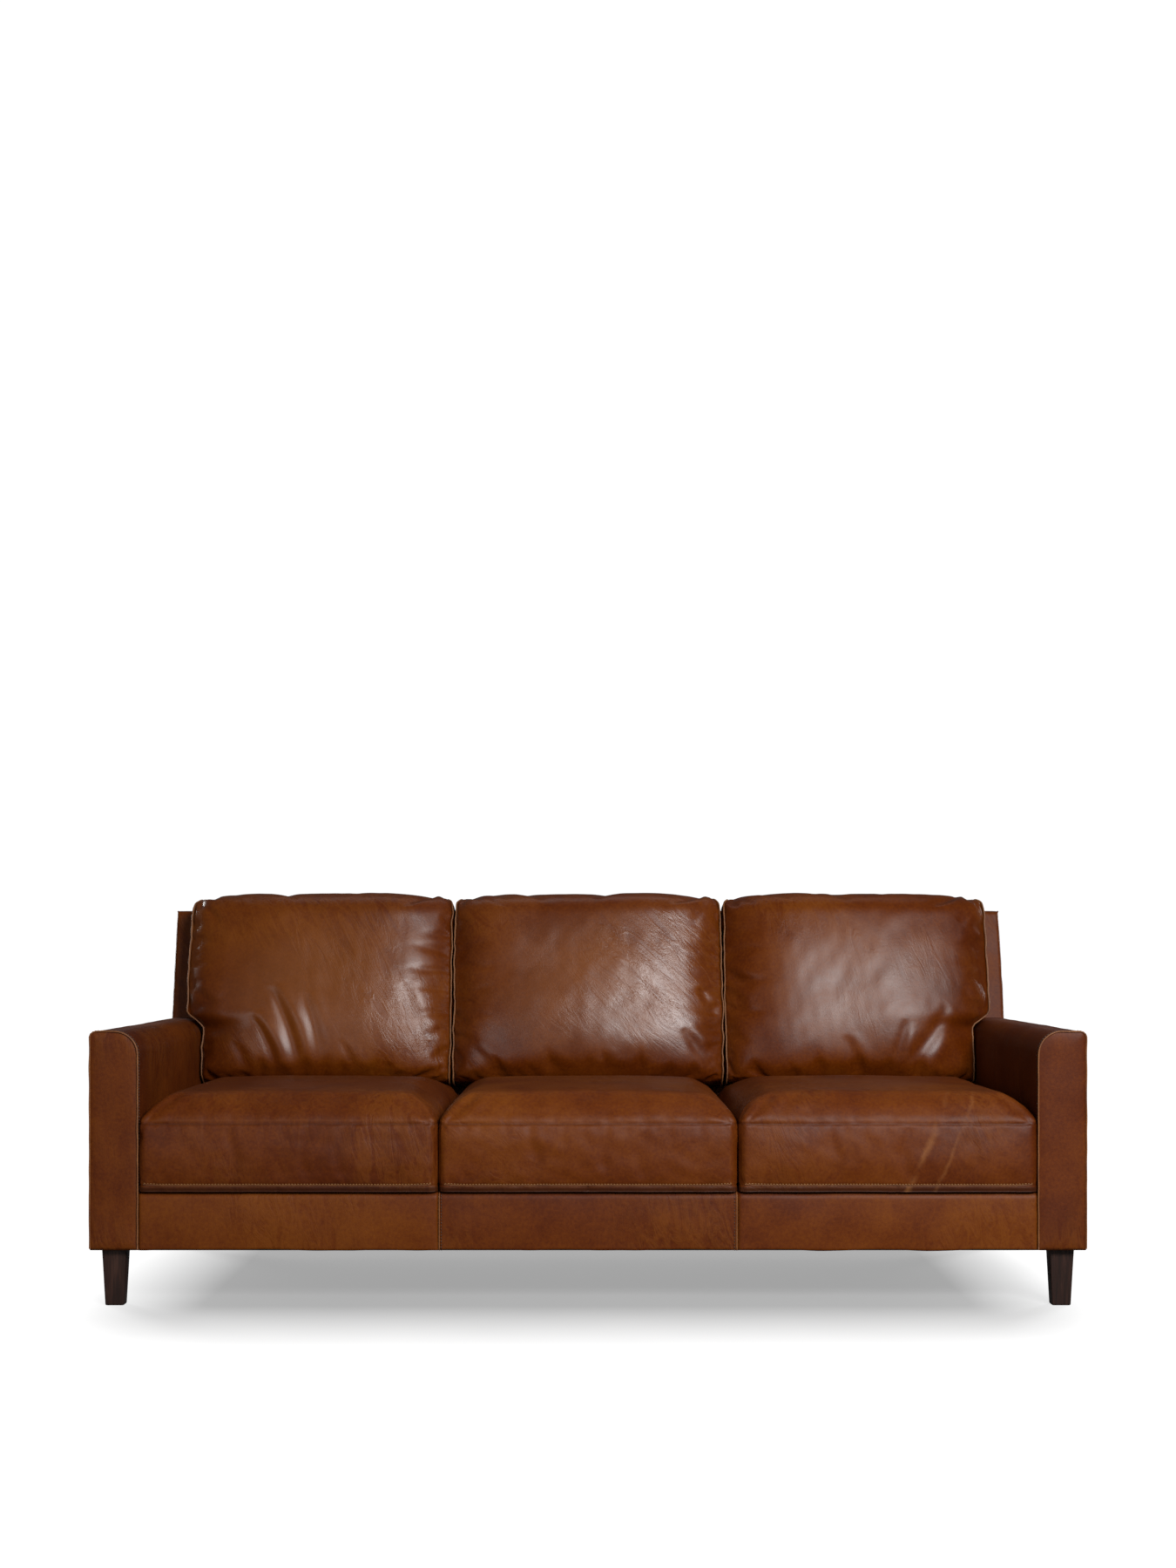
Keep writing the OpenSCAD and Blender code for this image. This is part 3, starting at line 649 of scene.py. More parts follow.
seat_low, seat_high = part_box("centre_seat_cover")
seat_front_y, seat_rear_y = seat_low.y, seat_high.y
seat_floor_z, crown_z = seat_low.z, seat_high.z
lower_seam_z, upper_seam_z = seat_floor_z + 0.0145, seat_floor_z + 0.1505
lean = next(joint for joint in frame["joints"] if joint["name"] == "centre_back_cushion_lift")["axis"]
UP_BACK = np.array([0.0, lean[1], lean[2]])
FORWARD = np.array([0.0, -lean[2], lean[1]])


def cad_points(node):
    """All corner points of a piece of the frame, in metres."""
    thing = frame["nodes"][node]
    turn = np.array(thing.matrix_world)
    return coordinates(thing.data) @ turn[:3, :3].T + turn[:3, 3]


rest_points = cad_points("centre_back_cushion_cover")
foot_level = (rest_points @ UP_BACK).min()
rear_level = (rest_points @ FORWARD).min()
cushion_length = (rest_points @ UP_BACK).max() - foot_level
cushion_depth = (rest_points @ FORWARD).max() - rear_level


def bed_height(y):
    """The level, at each y, of the plane that the back cushions stand on."""
    return (foot_level - y * UP_BACK[1]) / UP_BACK[2]


seat_tones = {LEFT: ("seat_leather_left", 0.42, 4.0, (0.1, 0.2, 0.0)),
              CENTRE: ("seat_leather_centre", 0.60, 5.0, (0.5, 0.9, 0.3)),
              RIGHT: ("seat_leather_right", 0.56, 6.0, (0.2, 0.4, 0.1))}


def scuffed(tree, place, base):
    """Two long pale rub marks that slant down across the right seat's front, feathered along their length."""
    parts = add(tree, "SeparateXYZ", Vector=place).outputs
    for offset, width, share in ((0.742, 0.011, 0.42), (0.802, 0.007, 0.30)):
        slant = maths(tree, "SUBTRACT", parts[0], maths(tree, "MULTIPLY", parts[2], 0.45))
        fray = maths(tree, "SUBTRACT", noise(tree, place, 26.0, 5.0, 0.7), 0.5)
        ragged = maths(tree, "ADD", slant, maths(tree, "MULTIPLY", fray, 0.03))
        gap = maths(tree, "ABSOLUTE", maths(tree, "SUBTRACT", ragged, offset - 0.15))
        mark = fitted(tree, gap, width, 0.0, 0.0, share)
        on_front = fitted(tree, parts[1], -0.40, -0.45)
        worn = fitted(tree, noise(tree, place, 11.0, 4.0), 0.4, 0.6)
        mark = maths(tree, "MULTIPLY", maths(tree, "MULTIPLY", mark, on_front), worn)
        base = mixed(tree, mark, base, (0.27, 0.105, 0.030))
    return base


def spaced_roll(count, reach):
    """Offsets in from an edge as it rolls over a quarter round: reach * (1 - sin t), for t from 90 degrees
    to 0, and the share of the rise, cos t, at each."""
    t = np.linspace(QUARTER, 0, count + 1)
    return reach * (1 - np.sin(t)), np.cos(t)


def seat_cushion(seat):
    """One seat cushion. A point of the top stands at upper seam + rise * (rise share across) * (rise share
    along), the boxing swells as the sine of its height, and the plan corners are drawn in to arcs."""
    name = SIDE_NAMES[seat]
    side_reach, front_reach, rear_reach = 0.085, 0.066, 0.028
    x0, x1 = (seat - 0.5) * seat_pitch + 0.0007, (seat + 0.5) * seat_pitch - 0.0007
    side_in, side_rise = spaced_roll(13, side_reach)
    front_in, front_rise = spaced_roll(12, front_reach)
    rear_in, rear_rise = spaced_roll(6, rear_reach)
    middle_x = np.linspace(x0 + side_reach, x1 - side_reach, 47)[1:-1]
    middle_y = np.linspace(seat_front_y + front_reach, seat_rear_y - rear_reach, 59)[1:-1]
    xs = np.concatenate([x0 + side_in, middle_x, (x1 - side_in)[::-1]])
    rise_x = np.concatenate([side_rise, np.ones(45), side_rise[::-1]])
    ys = np.concatenate([seat_front_y + front_in, middle_y, (seat_rear_y - rear_in)[::-1]])
    rise_y = np.concatenate([front_rise, np.ones(57), rear_rise[::-1]])
    swell = np.linspace(0, math.pi, 15)
    zs = np.concatenate([np.linspace(seat_floor_z, lower_seam_z, 4)[:-1],
                         lower_seam_z + (upper_seam_z - lower_seam_z) * (1 - np.cos(swell)) / 2])
    cells = (len(xs) - 1, len(ys) - 1, len(zs) - 1)
    places, quads = block_skin(cells)
    i, j, k = places.T
    top = k == cells[2]
    points = np.stack([xs[i], ys[j], zs[k]], 1)
    front_arc, rear_arc = 0.020, 0.008
    points[:, 0], points[:, 1] = rounded_corners(points[:, 0], points[:, 1], x0, x1, seat_front_y, seat_rear_y,
                                                 (front_arc, front_arc, rear_arc, rear_arc))
    wide = 1 - ((points[:, 0] - (x0 + x1) / 2) / ((x1 - x0) / 2)) ** 2
    deep = 1 - ((points[:, 1] - (seat_front_y + seat_rear_y) / 2) / ((seat_rear_y - seat_front_y) / 2)) ** 4
    rise = crown_z - 0.004 - upper_seam_z + 0.009 * wide * deep
    points[:, 2] += np.where(top, rise * rise_x[i] ** 0.9 * rise_y[j] ** 0.95, 0)
    height = np.clip((points[:, 2] - lower_seam_z) / (upper_seam_z - lower_seam_z), 0, 1)
    lip = np.clip((lower_seam_z - points[:, 2]) / (lower_seam_z - seat_floor_z), 0, 1)
    bulge = np.where(top, 0, 0.0045 * np.sin(np.pi * height) ** 0.8 - 0.004 * lip ** 2)
    edge_x, edge_y = np.minimum(i, cells[0] - i), np.minimum(j, cells[1] - j)
    points[:, 1] -= np.where((j == 0) & ~top, bulge, 0) * np.clip(edge_x / 8, 0, 1) ** 0.5
    points[:, 0] += np.where(i == 0, 0.0018 * np.sin(np.pi * height), 0) * (k < cells[2]) * 0.5
    around = (edge_x == 0) | (edge_y == 0)
    low_k = 3
    pinned = np.flatnonzero((around & ((k == cells[2]) | (k == low_k))) | (k <= low_k - 1))
    label, warmth, seed, lines = seat_tones[seat]
    finish = leather(label, warmth, seed, lines, scuffed if seat == RIGHT else None, 0.52, 0.17)
    thing = mesh_piece(f"{name}_seat_cushion", points, quads.tolist(), f"{name}_seat_cushion", finish)
    puffed(thing, pinned, 4.0, 0.008, 0.007)
    points = coordinates(thing.data)
    points[:, 0] = np.clip(points[:, 0], x0, x1)
    set_points(thing.data, points)
    subdivided(thing)

    mesh = thing.data
    points, out = coordinates(mesh), coordinates(mesh, "normal")
    run = points[:, 0] + points[:, 1]
    above = points[:, 2] - upper_seam_z
    on_front = np.clip(-out[:, 1], 0, 1)
    by_upper, by_lower = bell(above, 0.0035), bell(points[:, 2] - lower_seam_z, 0.0035)
    relief = -0.0022 * by_upper - 0.0018 * by_lower
    puckers = ripple(np.stack([run, run * 0, run * 0], 1), 0.030, 40 + seat)
    relief += 0.0007 * puckers * bell(above - 0.012, 0.014)
    relief += 0.0016 * ripple(points * [1, 1, 2.2], 0.19, 50 + seat)
    relief += 0.0007 * ripple(points * [1, 1, 2.4], 0.055, 60 + seat) * (0.25 + 0.75 * on_front)
    relief += 0.0022 * bell(above - 0.014, 0.011) * np.clip(-out[:, 1] + np.abs(out[:, 0]) * 0.2, 0, 1)
    joint = bell(points[:, 0] - (x0 + x1) / 2 - 0.02 * seat, 0.003) * (points[:, 2] < lower_seam_z - 0.001)
    relief -= 0.0018 * joint
    points += out * relief[:, None]
    points[:, 0] = np.clip(points[:, 0], x0, x1)
    points[:, 1] = np.clip(points[:, 1], seat_front_y - 0.012, seat_rear_y)
    ceiling = bed_height(points[:, 1]) - 0.0006
    blend = np.clip((ceiling - points[:, 2]) / 0.004, -1, 1)
    points[:, 2] = np.where(blend < 1, np.minimum(points[:, 2], ceiling - 0.001 * (1 + blend)), points[:, 2])
    points[:, 2] = np.maximum(points[:, 2], seat_floor_z)
    set_points(mesh, points)
    # A pale band just above the upper seam; dark bands at both seams and under the lower lip: painted shade.
    painted_shade_under_lip = np.clip((lower_seam_z - 0.002 - points[:, 2]) / 0.003, 0, 1)
    pale_and_shade = 0.25 * bell(above - 0.006, 0.004) - 0.5 * by_upper - 0.2 * by_lower - 0.9 * painted_shade_under_lip
    shade_by_bend(mesh, 0.10, pale_and_shade)
    mesh.polygons.foreach_set("use_smooth", np.full(len(mesh.polygons), True))
    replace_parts(thing, f"{name}_seat_cover")
    filling(f"{name}_seat_foam", thing, len(places), quads, f"{name}_seat_cushion", foam_finish,
            f"{name}_seat_core")

    points, out = coordinates(mesh), coordinates(mesh, "normal")
    ring = np.lexsort((j, i))
    front = [n for n in ring if j[n] == 0 and 4 <= i[n] <= cells[0] - 4]
    upper = [n for n in front if k[n] == cells[2]]
    lower = [n for n in front if k[n] == low_k]
    path = points[upper] + [0, -0.0006, -0.0062]
    forwards = np.tile([0.0, -1.0, 0.0], (len(path), 1))
    stitches(f"{name}_seat_upper_stitches", path, forwards + [0, 0, 0.15], f"{name}_seat_cushion",
             dark_thread, 0.0006)
    path = points[lower] + [0, -0.0006, 0.0]
    path[:, 2] += 0.003 * (bell(path[:, 0] - x0, 0.03) + bell(path[:, 0] - x1, 0.03))
    stitches(f"{name}_seat_lower_stitches", path + [0, -0.0008, 0.003], forwards, f"{name}_seat_cushion",
             gold_thread, 0.0005)
    welt(f"{name}_seat_lower_edge", path + [0, 0.0006, 0], forwards, f"{name}_seat_cushion", width=0.0024,
         thickness=0.0020, material=waxed_edge)


for seat in SIDE_NAMES:
    seat_cushion(seat)


# ---- Back cushions ----
# Three loose cushions: soft leather bags filled with fibre, with a side panel sewn in at each
# end. The raw seam edges stand out. The outer two are cut away to fit round the arms.

def fold(x, up, start, end, depth, width, bow=0.0, ridge=0.55):
    """A crease that runs from start to end: a valley shaped as a bell of the distance from a bowed line,
    and a softer ridge beside it, both fading out at the ends."""
    start, end = np.array(start), np.array(end)
    line = end - start
    length = np.linalg.norm(line)
    line = line / length
    share = ((x - start[0]) * line[0] + (up - start[1]) * line[1]) / length
    off = (x - start[0]) * -line[1] + (up - start[1]) * line[0] - bow * 4 * share * (1 - share)
    taper = np.clip(1 - (2 * share - 1) ** 2 * 0.999, 0, 1) ** 0.7 * ((share > 0) & (share < 1))
    spread = width * (0.7 + 0.6 * share)
    return taper * depth * (ridge * bell(off - spread * 1.7, spread * 1.3) - bell(off, spread))


back_tones = {LEFT: ("back_leather_left", 0.52, 7.0, (0.3, 0.5, 0.2)),
              CENTRE: ("back_leather_centre", 0.50, 8.0, (0.1, 0.8, 0.0)),
              RIGHT: ("back_leather_right", 0.52, 9.0, (0.2, 0.3, 0.5))}
arm_low, arm_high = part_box("right_arm_inside_panel")
arm_top_z = arm_high.z
arm_wrap = 0.055
arm_centre = (arm_low.x + 0.052, arm_top_z - 0.052)

back_gloss = {LEFT: (0.34, 0.34), CENTRE: (0.32, 0.38), RIGHT: (0.35, 0.24)}
# How far each back cushion's crown is paled: a painted highlight, stronger on the left and centre.
back_crown_highlight = {LEFT: 0.85, CENTRE: 0.7, RIGHT: 0.4}

# Each crease: where it starts and ends, as shares of the cushion's width and length; its depth and
# width in metres; how far it bows.
folds = {
    LEFT: [((0.20, 0.20), (0.26, 0.0), 0.003, 0.014, 0.01),
           ((0.265, 0.33), (0.375, -0.02), 0.006, 0.015, 0.012),
           ((0.335, 0.47), (0.45, -0.02), 0.007, 0.018, 0.014),
           ((0.46, 0.44), (0.52, 0.0), 0.004, 0.018, 0.010),
           ((0.82, 0.50), (0.975, 0.02), 0.004, 0.024, -0.01),
           ((0.02, 0.50), (0.13, 0.38), 0.003, 0.012, 0.0),
           ((0.60, 0.20), (0.66, 0.02), 0.003, 0.012, 0.0),
           ((0.06, 0.93), (0.13, 0.82), 0.003, 0.010, 0.0)],
    CENTRE: [((0.0, 0.42), (0.10, 0.405), 0.004, 0.010, 0.0),
             ((0.0, 0.36), (0.08, 0.29), 0.003, 0.010, 0.0),
             ((0.90, 0.48), (0.98, 0.26), 0.005, 0.012, 0.006),
             ((0.84, 0.26), (0.97, 0.02), 0.005, 0.018, 0.0),
             ((0.08, 0.18), (0.20, 0.0), 0.003, 0.016, 0.0),
             ((0.55, 0.14), (0.60, 0.02), 0.002, 0.014, 0.0),
             ((0.93, 0.95), (0.88, 0.84), 0.003, 0.010, 0.0)],
    RIGHT: [((0.82, 0.38), (0.58, -0.02), 0.006, 0.022, 0.016),
            ((0.66, 0.30), (0.58, 0.0), 0.003, 0.015, 0.008),
            ((0.44, 0.22), (0.50, 0.0), 0.003, 0.016, 0.0),
            ((0.0, 0.60), (0.11, 0.47), 0.004, 0.013, 0.0),
            ((0.0, 0.50), (0.09, 0.38), 0.003, 0.011, 0.0),
            ((0.88, 0.46), (0.98, 0.32), 0.003, 0.013, 0.0),
            ((0.95, 0.93), (0.88, 0.83), 0.003, 0.010, 0.0)],
}


edge_names = {LEFT: ("outer", "inner"), CENTRE: ("left", "right"), RIGHT: ("inner", "outer")}


def back_cushion(seat):
    """One back cushion, worked out in its own axes: x across, up the lean and forward of the back. Its
    outline in side view is a leaning box with four arcs, drawn in towards the side seams as the fourth
    power of the distance from the middle. An outer edge that meets an arm follows the arm's rounded top."""
    name = SIDE_NAMES[seat]
    low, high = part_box(f"{name}_back_cushion_cover")
    half = (0.702 / 2) - 0.0052
    outer_high = max(high.x, -low.x) - 0.017
    outer_low = arm_low.x - 0.008
    length, depth = cushion_length - 0.004, cushion_depth - 0.004
    cells = (76, 18, 58)
    places, quads = block_skin(cells)
    quads = quads[:, ::-1]
    i, j, k = places.T

    across = 2 * i / cells[0] - 1
    across = np.sign(across) * (1 - (1 - np.abs(across)) ** 1.22)
    foot_in, _ = spaced_roll(5, 0.034)
    top_in, _ = spaced_roll(8, 0.070)
    ups = np.concatenate([foot_in, np.linspace(0.034, length - 0.070, cells[2] - 13 + 1)[1:-1],
                          (length - top_in)[::-1]])
    rear_in, _ = spaced_roll(4, 0.030)
    front_in, _ = spaced_roll(7, 0.066)
    deeps = np.concatenate([rear_in, np.linspace(0.030, depth - 0.066, cells[1] - 11 + 1)[1:-1],
                            (depth - front_in)[::-1]])
    up, forward = ups[k], deeps[j]
    forward, up = rounded_corners(forward, up, 0, depth, 0, length, (0.010, 0.034, 0.044, 0.066))
    taper = 1 - (1 - 0.150 / 0.180) * np.clip(up / length, 0, 1)
    edge = np.abs(across)
    forward = forward * taper
    drawn = 0.036 * edge ** 4 + 0.012 * edge ** 12
    swell = 0.019 * (1 - edge ** 2) * np.sin(np.pi * np.clip(up / length, 0, 1)) * (forward / depth)
    forward = 0.004 * edge ** 4 * (1 - forward / depth) + forward * (1 - drawn / (depth * taper)) + swell
    up = up - 0.006 * edge ** 4 * (up / length) + 0.006 * edge ** 3 * (1 - up / length)
    up += 0.005 * bell(edge - 0.93, 0.05) * (across * (1 - seat) > 0) * (up / length)
    low_part = np.clip(1 - up / (0.36 * length), 0, 1)
    forward = forward - 0.020 * low_part ** 2 * (forward / depth)
    gusset = (i == 0) | (i == cells[0])
    ring = gusset & ((j == 0) | (j == cells[1]) | (k == 0) | (k == cells[2]))

    rear = rear_level + 0.0008
    foot = foot_level + 0.0005
    points = UP_BACK * (foot + up)[:, None] + FORWARD * (rear + forward)[:, None]
    if seat:
        z = points[:, 2]
        climbed = np.clip(z - arm_centre[1], 0, arm_wrap)
        wrap = arm_centre[0] - np.sqrt(np.clip(arm_wrap ** 2 - climbed ** 2, 0, None))
        share = np.clip((z - arm_centre[1] - 0.030) / 0.045, 0, 1)
        share = share * share * (3 - 2 * share)
        limit = np.minimum(wrap - 0.006, outer_high)
        outer = np.where(z < arm_centre[1], outer_low, outer_low + (outer_high - outer_low) * share)
        outer = np.where(z < arm_top_z + 0.004, np.minimum(outer, np.maximum(limit, outer_low)), outer)
        inner_x = seat_pitch / 2 + 0.0185 + 0.0052
        share_x = (across + 1) / 2 if seat > 0 else (1 - across) / 2
        x = inner_x + (outer - inner_x) * share_x
        points[:, 0] = seat * x
    else:
        points[:, 0] = half * across
    over = np.clip((up - length + 0.030) / 0.026, 0, 1)
    points[:, 0] -= np.sign(across) * 0.022 * (1 - np.sqrt(1 - over ** 2 * 0.999)) * edge ** 8
    pad = 0.0020 * np.sin(np.pi * np.clip(up / length, 0, 1)) * np.sin(np.pi * np.clip(forward / depth, 0, 1))
    points[:, 0] += np.where(gusset, np.sign(i - 1) * pad, 0)

    pinned = np.flatnonzero(ring | ((j == 0) & (k < cells[2] - 6)) | ((k == 0) & (j < cells[1] - 4)))
    label, warmth, seed, lines = back_tones[seat]
    thing = mesh_piece(f"{name}_back_cushion", points, quads.tolist(), f"{name}_back_cushion",
                       leather(label, warmth, seed, lines, rough=back_gloss[seat][0], specular=back_gloss[seat][1]))
    puffed(thing, pinned, 4.5, 0.04, 0.012)
    subdivided(thing)

    mesh = thing.data
    coarse = len(points)
    points, out = coordinates(mesh), coordinates(mesh, "normal")
    seam_rows = np.zeros(len(points))
    seam_rows[:coarse][ring] = 1
    by_seam = near_mean(mesh, seam_rows, 3)[:, 0] * 3
    near_seam = np.clip(near_mean(mesh, seam_rows, 14)[:, 0] * 14, 0, 1)
    height = points @ UP_BACK - foot_level
    front = np.clip(out @ FORWARD, 0, 1)
    low_x, high_x = points[:, 0].min(), points[:, 0].max()
    a, b = (points[:, 0] - low_x) / (high_x - low_x), height / cushion_length
    wide = high_x - low_x
    relief = np.zeros(len(points))
    for start, end, deep, width, bow in folds[seat]:
        relief += fold(a * wide, b * cushion_length, (start[0] * wide, start[1] * cushion_length),
                       (end[0] * wide, end[1] * cushion_length), deep, width, bow)
    relief *= front
    run = points @ (UP_BACK + FORWARD * 0.9)
    relief += 0.0017 * ripple(np.stack([run, run * 0, points[:, 0] * 0.2], 1), 0.030, 70 + seat) * near_seam
    relief += 0.0040 * ripple(points * [1.0, 1.3, 1.0], 0.26, 80 + seat) * (0.3 + 0.7 * front)
    relief += 0.0004 * ripple(points * [1.6, 1.0, 0.8], 0.062, 90 + seat)
    relief -= 0.0020 * np.clip(by_seam, 0, 1)
    behind = np.clip(-(out @ FORWARD), 0, 1)
    points += out * (relief * (1 - behind))[:, None]
    shift = np.minimum(points @ FORWARD - rear_level - 0.0004, 0)
    points -= FORWARD * shift[:, None]
    shift = np.minimum(points @ UP_BACK - foot_level - 0.0002, 0)
    points -= UP_BACK * shift[:, None]
    limit_in = (abs(seat) * seat_pitch / 2 + 0.0182) if seat else None
    if seat:
        points[:, 0] = seat * np.maximum(seat * points[:, 0], limit_in)
        z = points[:, 2]
        below = z < arm_centre[1]
        wall = np.where(below, arm_low.x - 0.0012, arm_centre[0] - np.sqrt(np.clip(
            0.0535 ** 2 - np.clip(z - arm_centre[1], 0, 0.0535) ** 2, 0, None)))
        wall = np.where(z > arm_top_z + 0.0012, 9.0, wall)
        points[:, 0] = seat * np.minimum(seat * points[:, 0], wall)
    else:
        points[:, 0] = np.clip(points[:, 0], -0.3505, 0.3505)
    set_points(mesh, points)
    # The middle of each cushion's front is paled as a painted highlight, and the seams are darkened as painted
    # shade.
    painted_crown_highlight = np.clip(16 * a * (1 - a) * b * (1 - b), 0, 1) ** 1.6 * back_crown_highlight[seat]
    shade_by_bend(mesh, 0.05, painted_crown_highlight * front - 0.45 * np.clip(by_seam, 0, 1))
    mesh.polygons.foreach_set("use_smooth", np.full(len(mesh.polygons), True))
    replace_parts(thing, f"{name}_back_cushion_cover")
    filling(f"{name}_back_fibre", thing, coarse, quads, f"{name}_back_cushion", ticking,
            f"{name}_back_cushion_fill")

    points = coordinates(mesh)
    for end, level in zip((0, cells[0]), edge_names[seat]):
        loop = [n for n in np.flatnonzero(ring) if i[n] == end]
        turn = {(a_, b_): n for n, a_, b_ in zip(loop, j[loop], k[loop])}
        walk = [(jj, 0) for jj in range(6, cells[1])] + [(cells[1], kk) for kk in range(cells[2])] \
            + [(jj, cells[2]) for jj in range(cells[1], 2, -1)]
        order = [turn[place] for place in walk]
        path = points[order]
        run = unit(np.gradient(path, axis=0))
        outward = unit(np.cross(run, [1.0, 0, 0]))
        centre = points[loop].mean(0)
        outward *= np.sign(((path - centre) * outward).sum(1, keepdims=True))
        sideways = np.array([-1.0 if end == 0 else 1.0, 0, 0])
        tilt = outward + sideways * 0.1
        climb = path @ UP_BACK - foot_level
        width = 0.0025 + 0.0045 * np.clip((length - 0.012 - climb) / 0.03, 0, 1)
        if level == "outer":
            width = width - 0.0035 * np.clip((arm_top_z + 0.01 - path[:, 2]) / 0.03, 0, 1)
        welt(f"{name}_back_{level}_edge", path, tilt, f"{name}_back_cushion", width=width, thickness=0.0036,
             sway=0.0012)


for seat in SIDE_NAMES:
    back_cushion(seat)


# ---- Arms ----
# Three pieces of leather to an arm: one over the inside and top, one down the outside and one
# on the front, sewn on with its pale raw edge standing out. Thin foam lies under them.

arm_side_x, arm_face_x = arm_high.x, arm_low.x
arm_front_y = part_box("right_arm_front_panel")[0].y
arm_inner_r, arm_outer_r = 0.052, 0.014
outer_panel = cad_points("outside_back_panel")
face_rake = UP_BACK[1] / UP_BACK[2]
rear_top = outer_panel[outer_panel[:, 2] > outer_panel[:, 2].max() - 1e-4][:, 1].max()
rear_foot = outer_panel[outer_panel[:, 2] < outer_panel[:, 2].min() + 1e-4][:, 1].max()
panel_top_z, panel_foot_z = outer_panel[:, 2].max(), outer_panel[:, 2].min()
face_foot = rear_level * FORWARD[1:] + foot_level * UP_BACK[1:]


def back_y(z, gap=0.0):
    """Where the inside back's leaning face is at each height."""
    return face_foot[0] + (z - face_foot[1]) * face_rake + 0.0003 + gap


def rear_y(z):
    """Where the outside back's leaning face is at each height."""
    return rear_foot + (z - panel_foot_z) * (rear_top - rear_foot) / (panel_top_z - panel_foot_z)


def arm_edge(count, start, stop_low=False):
    """The arm's outline in front view as x, z, from a height on its inner side, up, round the wide inner
    edge, over the flat top and round the tight outer edge, evenly spaced. It can go on down the outer side."""
    t = np.linspace(0, QUARTER, 24)
    x = np.concatenate([[arm_face_x], arm_face_x + arm_inner_r * (1 - np.cos(t)),
                        arm_side_x - arm_outer_r * (1 - np.sin(t))])
    z = np.concatenate([[start], arm_top_z - arm_inner_r * (1 - np.sin(t)),
                        arm_top_z - arm_outer_r * (1 - np.cos(t))])
    if stop_low:
        x, z = np.append(x, arm_side_x), np.append(z, base_z + 0.004)
    run = np.concatenate([[0], np.cumsum(np.hypot(np.diff(x), np.diff(z)))])
    even = np.linspace(0, run[-1], count)
    return np.interp(even, run, x), np.interp(even, run, z)


def rounded_in(z, radius):
    """How far in the arm's side has come at each height: 0 up to where its top edge starts to round over,
    then r - sqrt(r * r - h * h), h being the height above there."""
    height = np.clip((z - arm_top_z + radius) / radius, 0, 1)
    return radius * (1 - np.sqrt(1 - height ** 2))


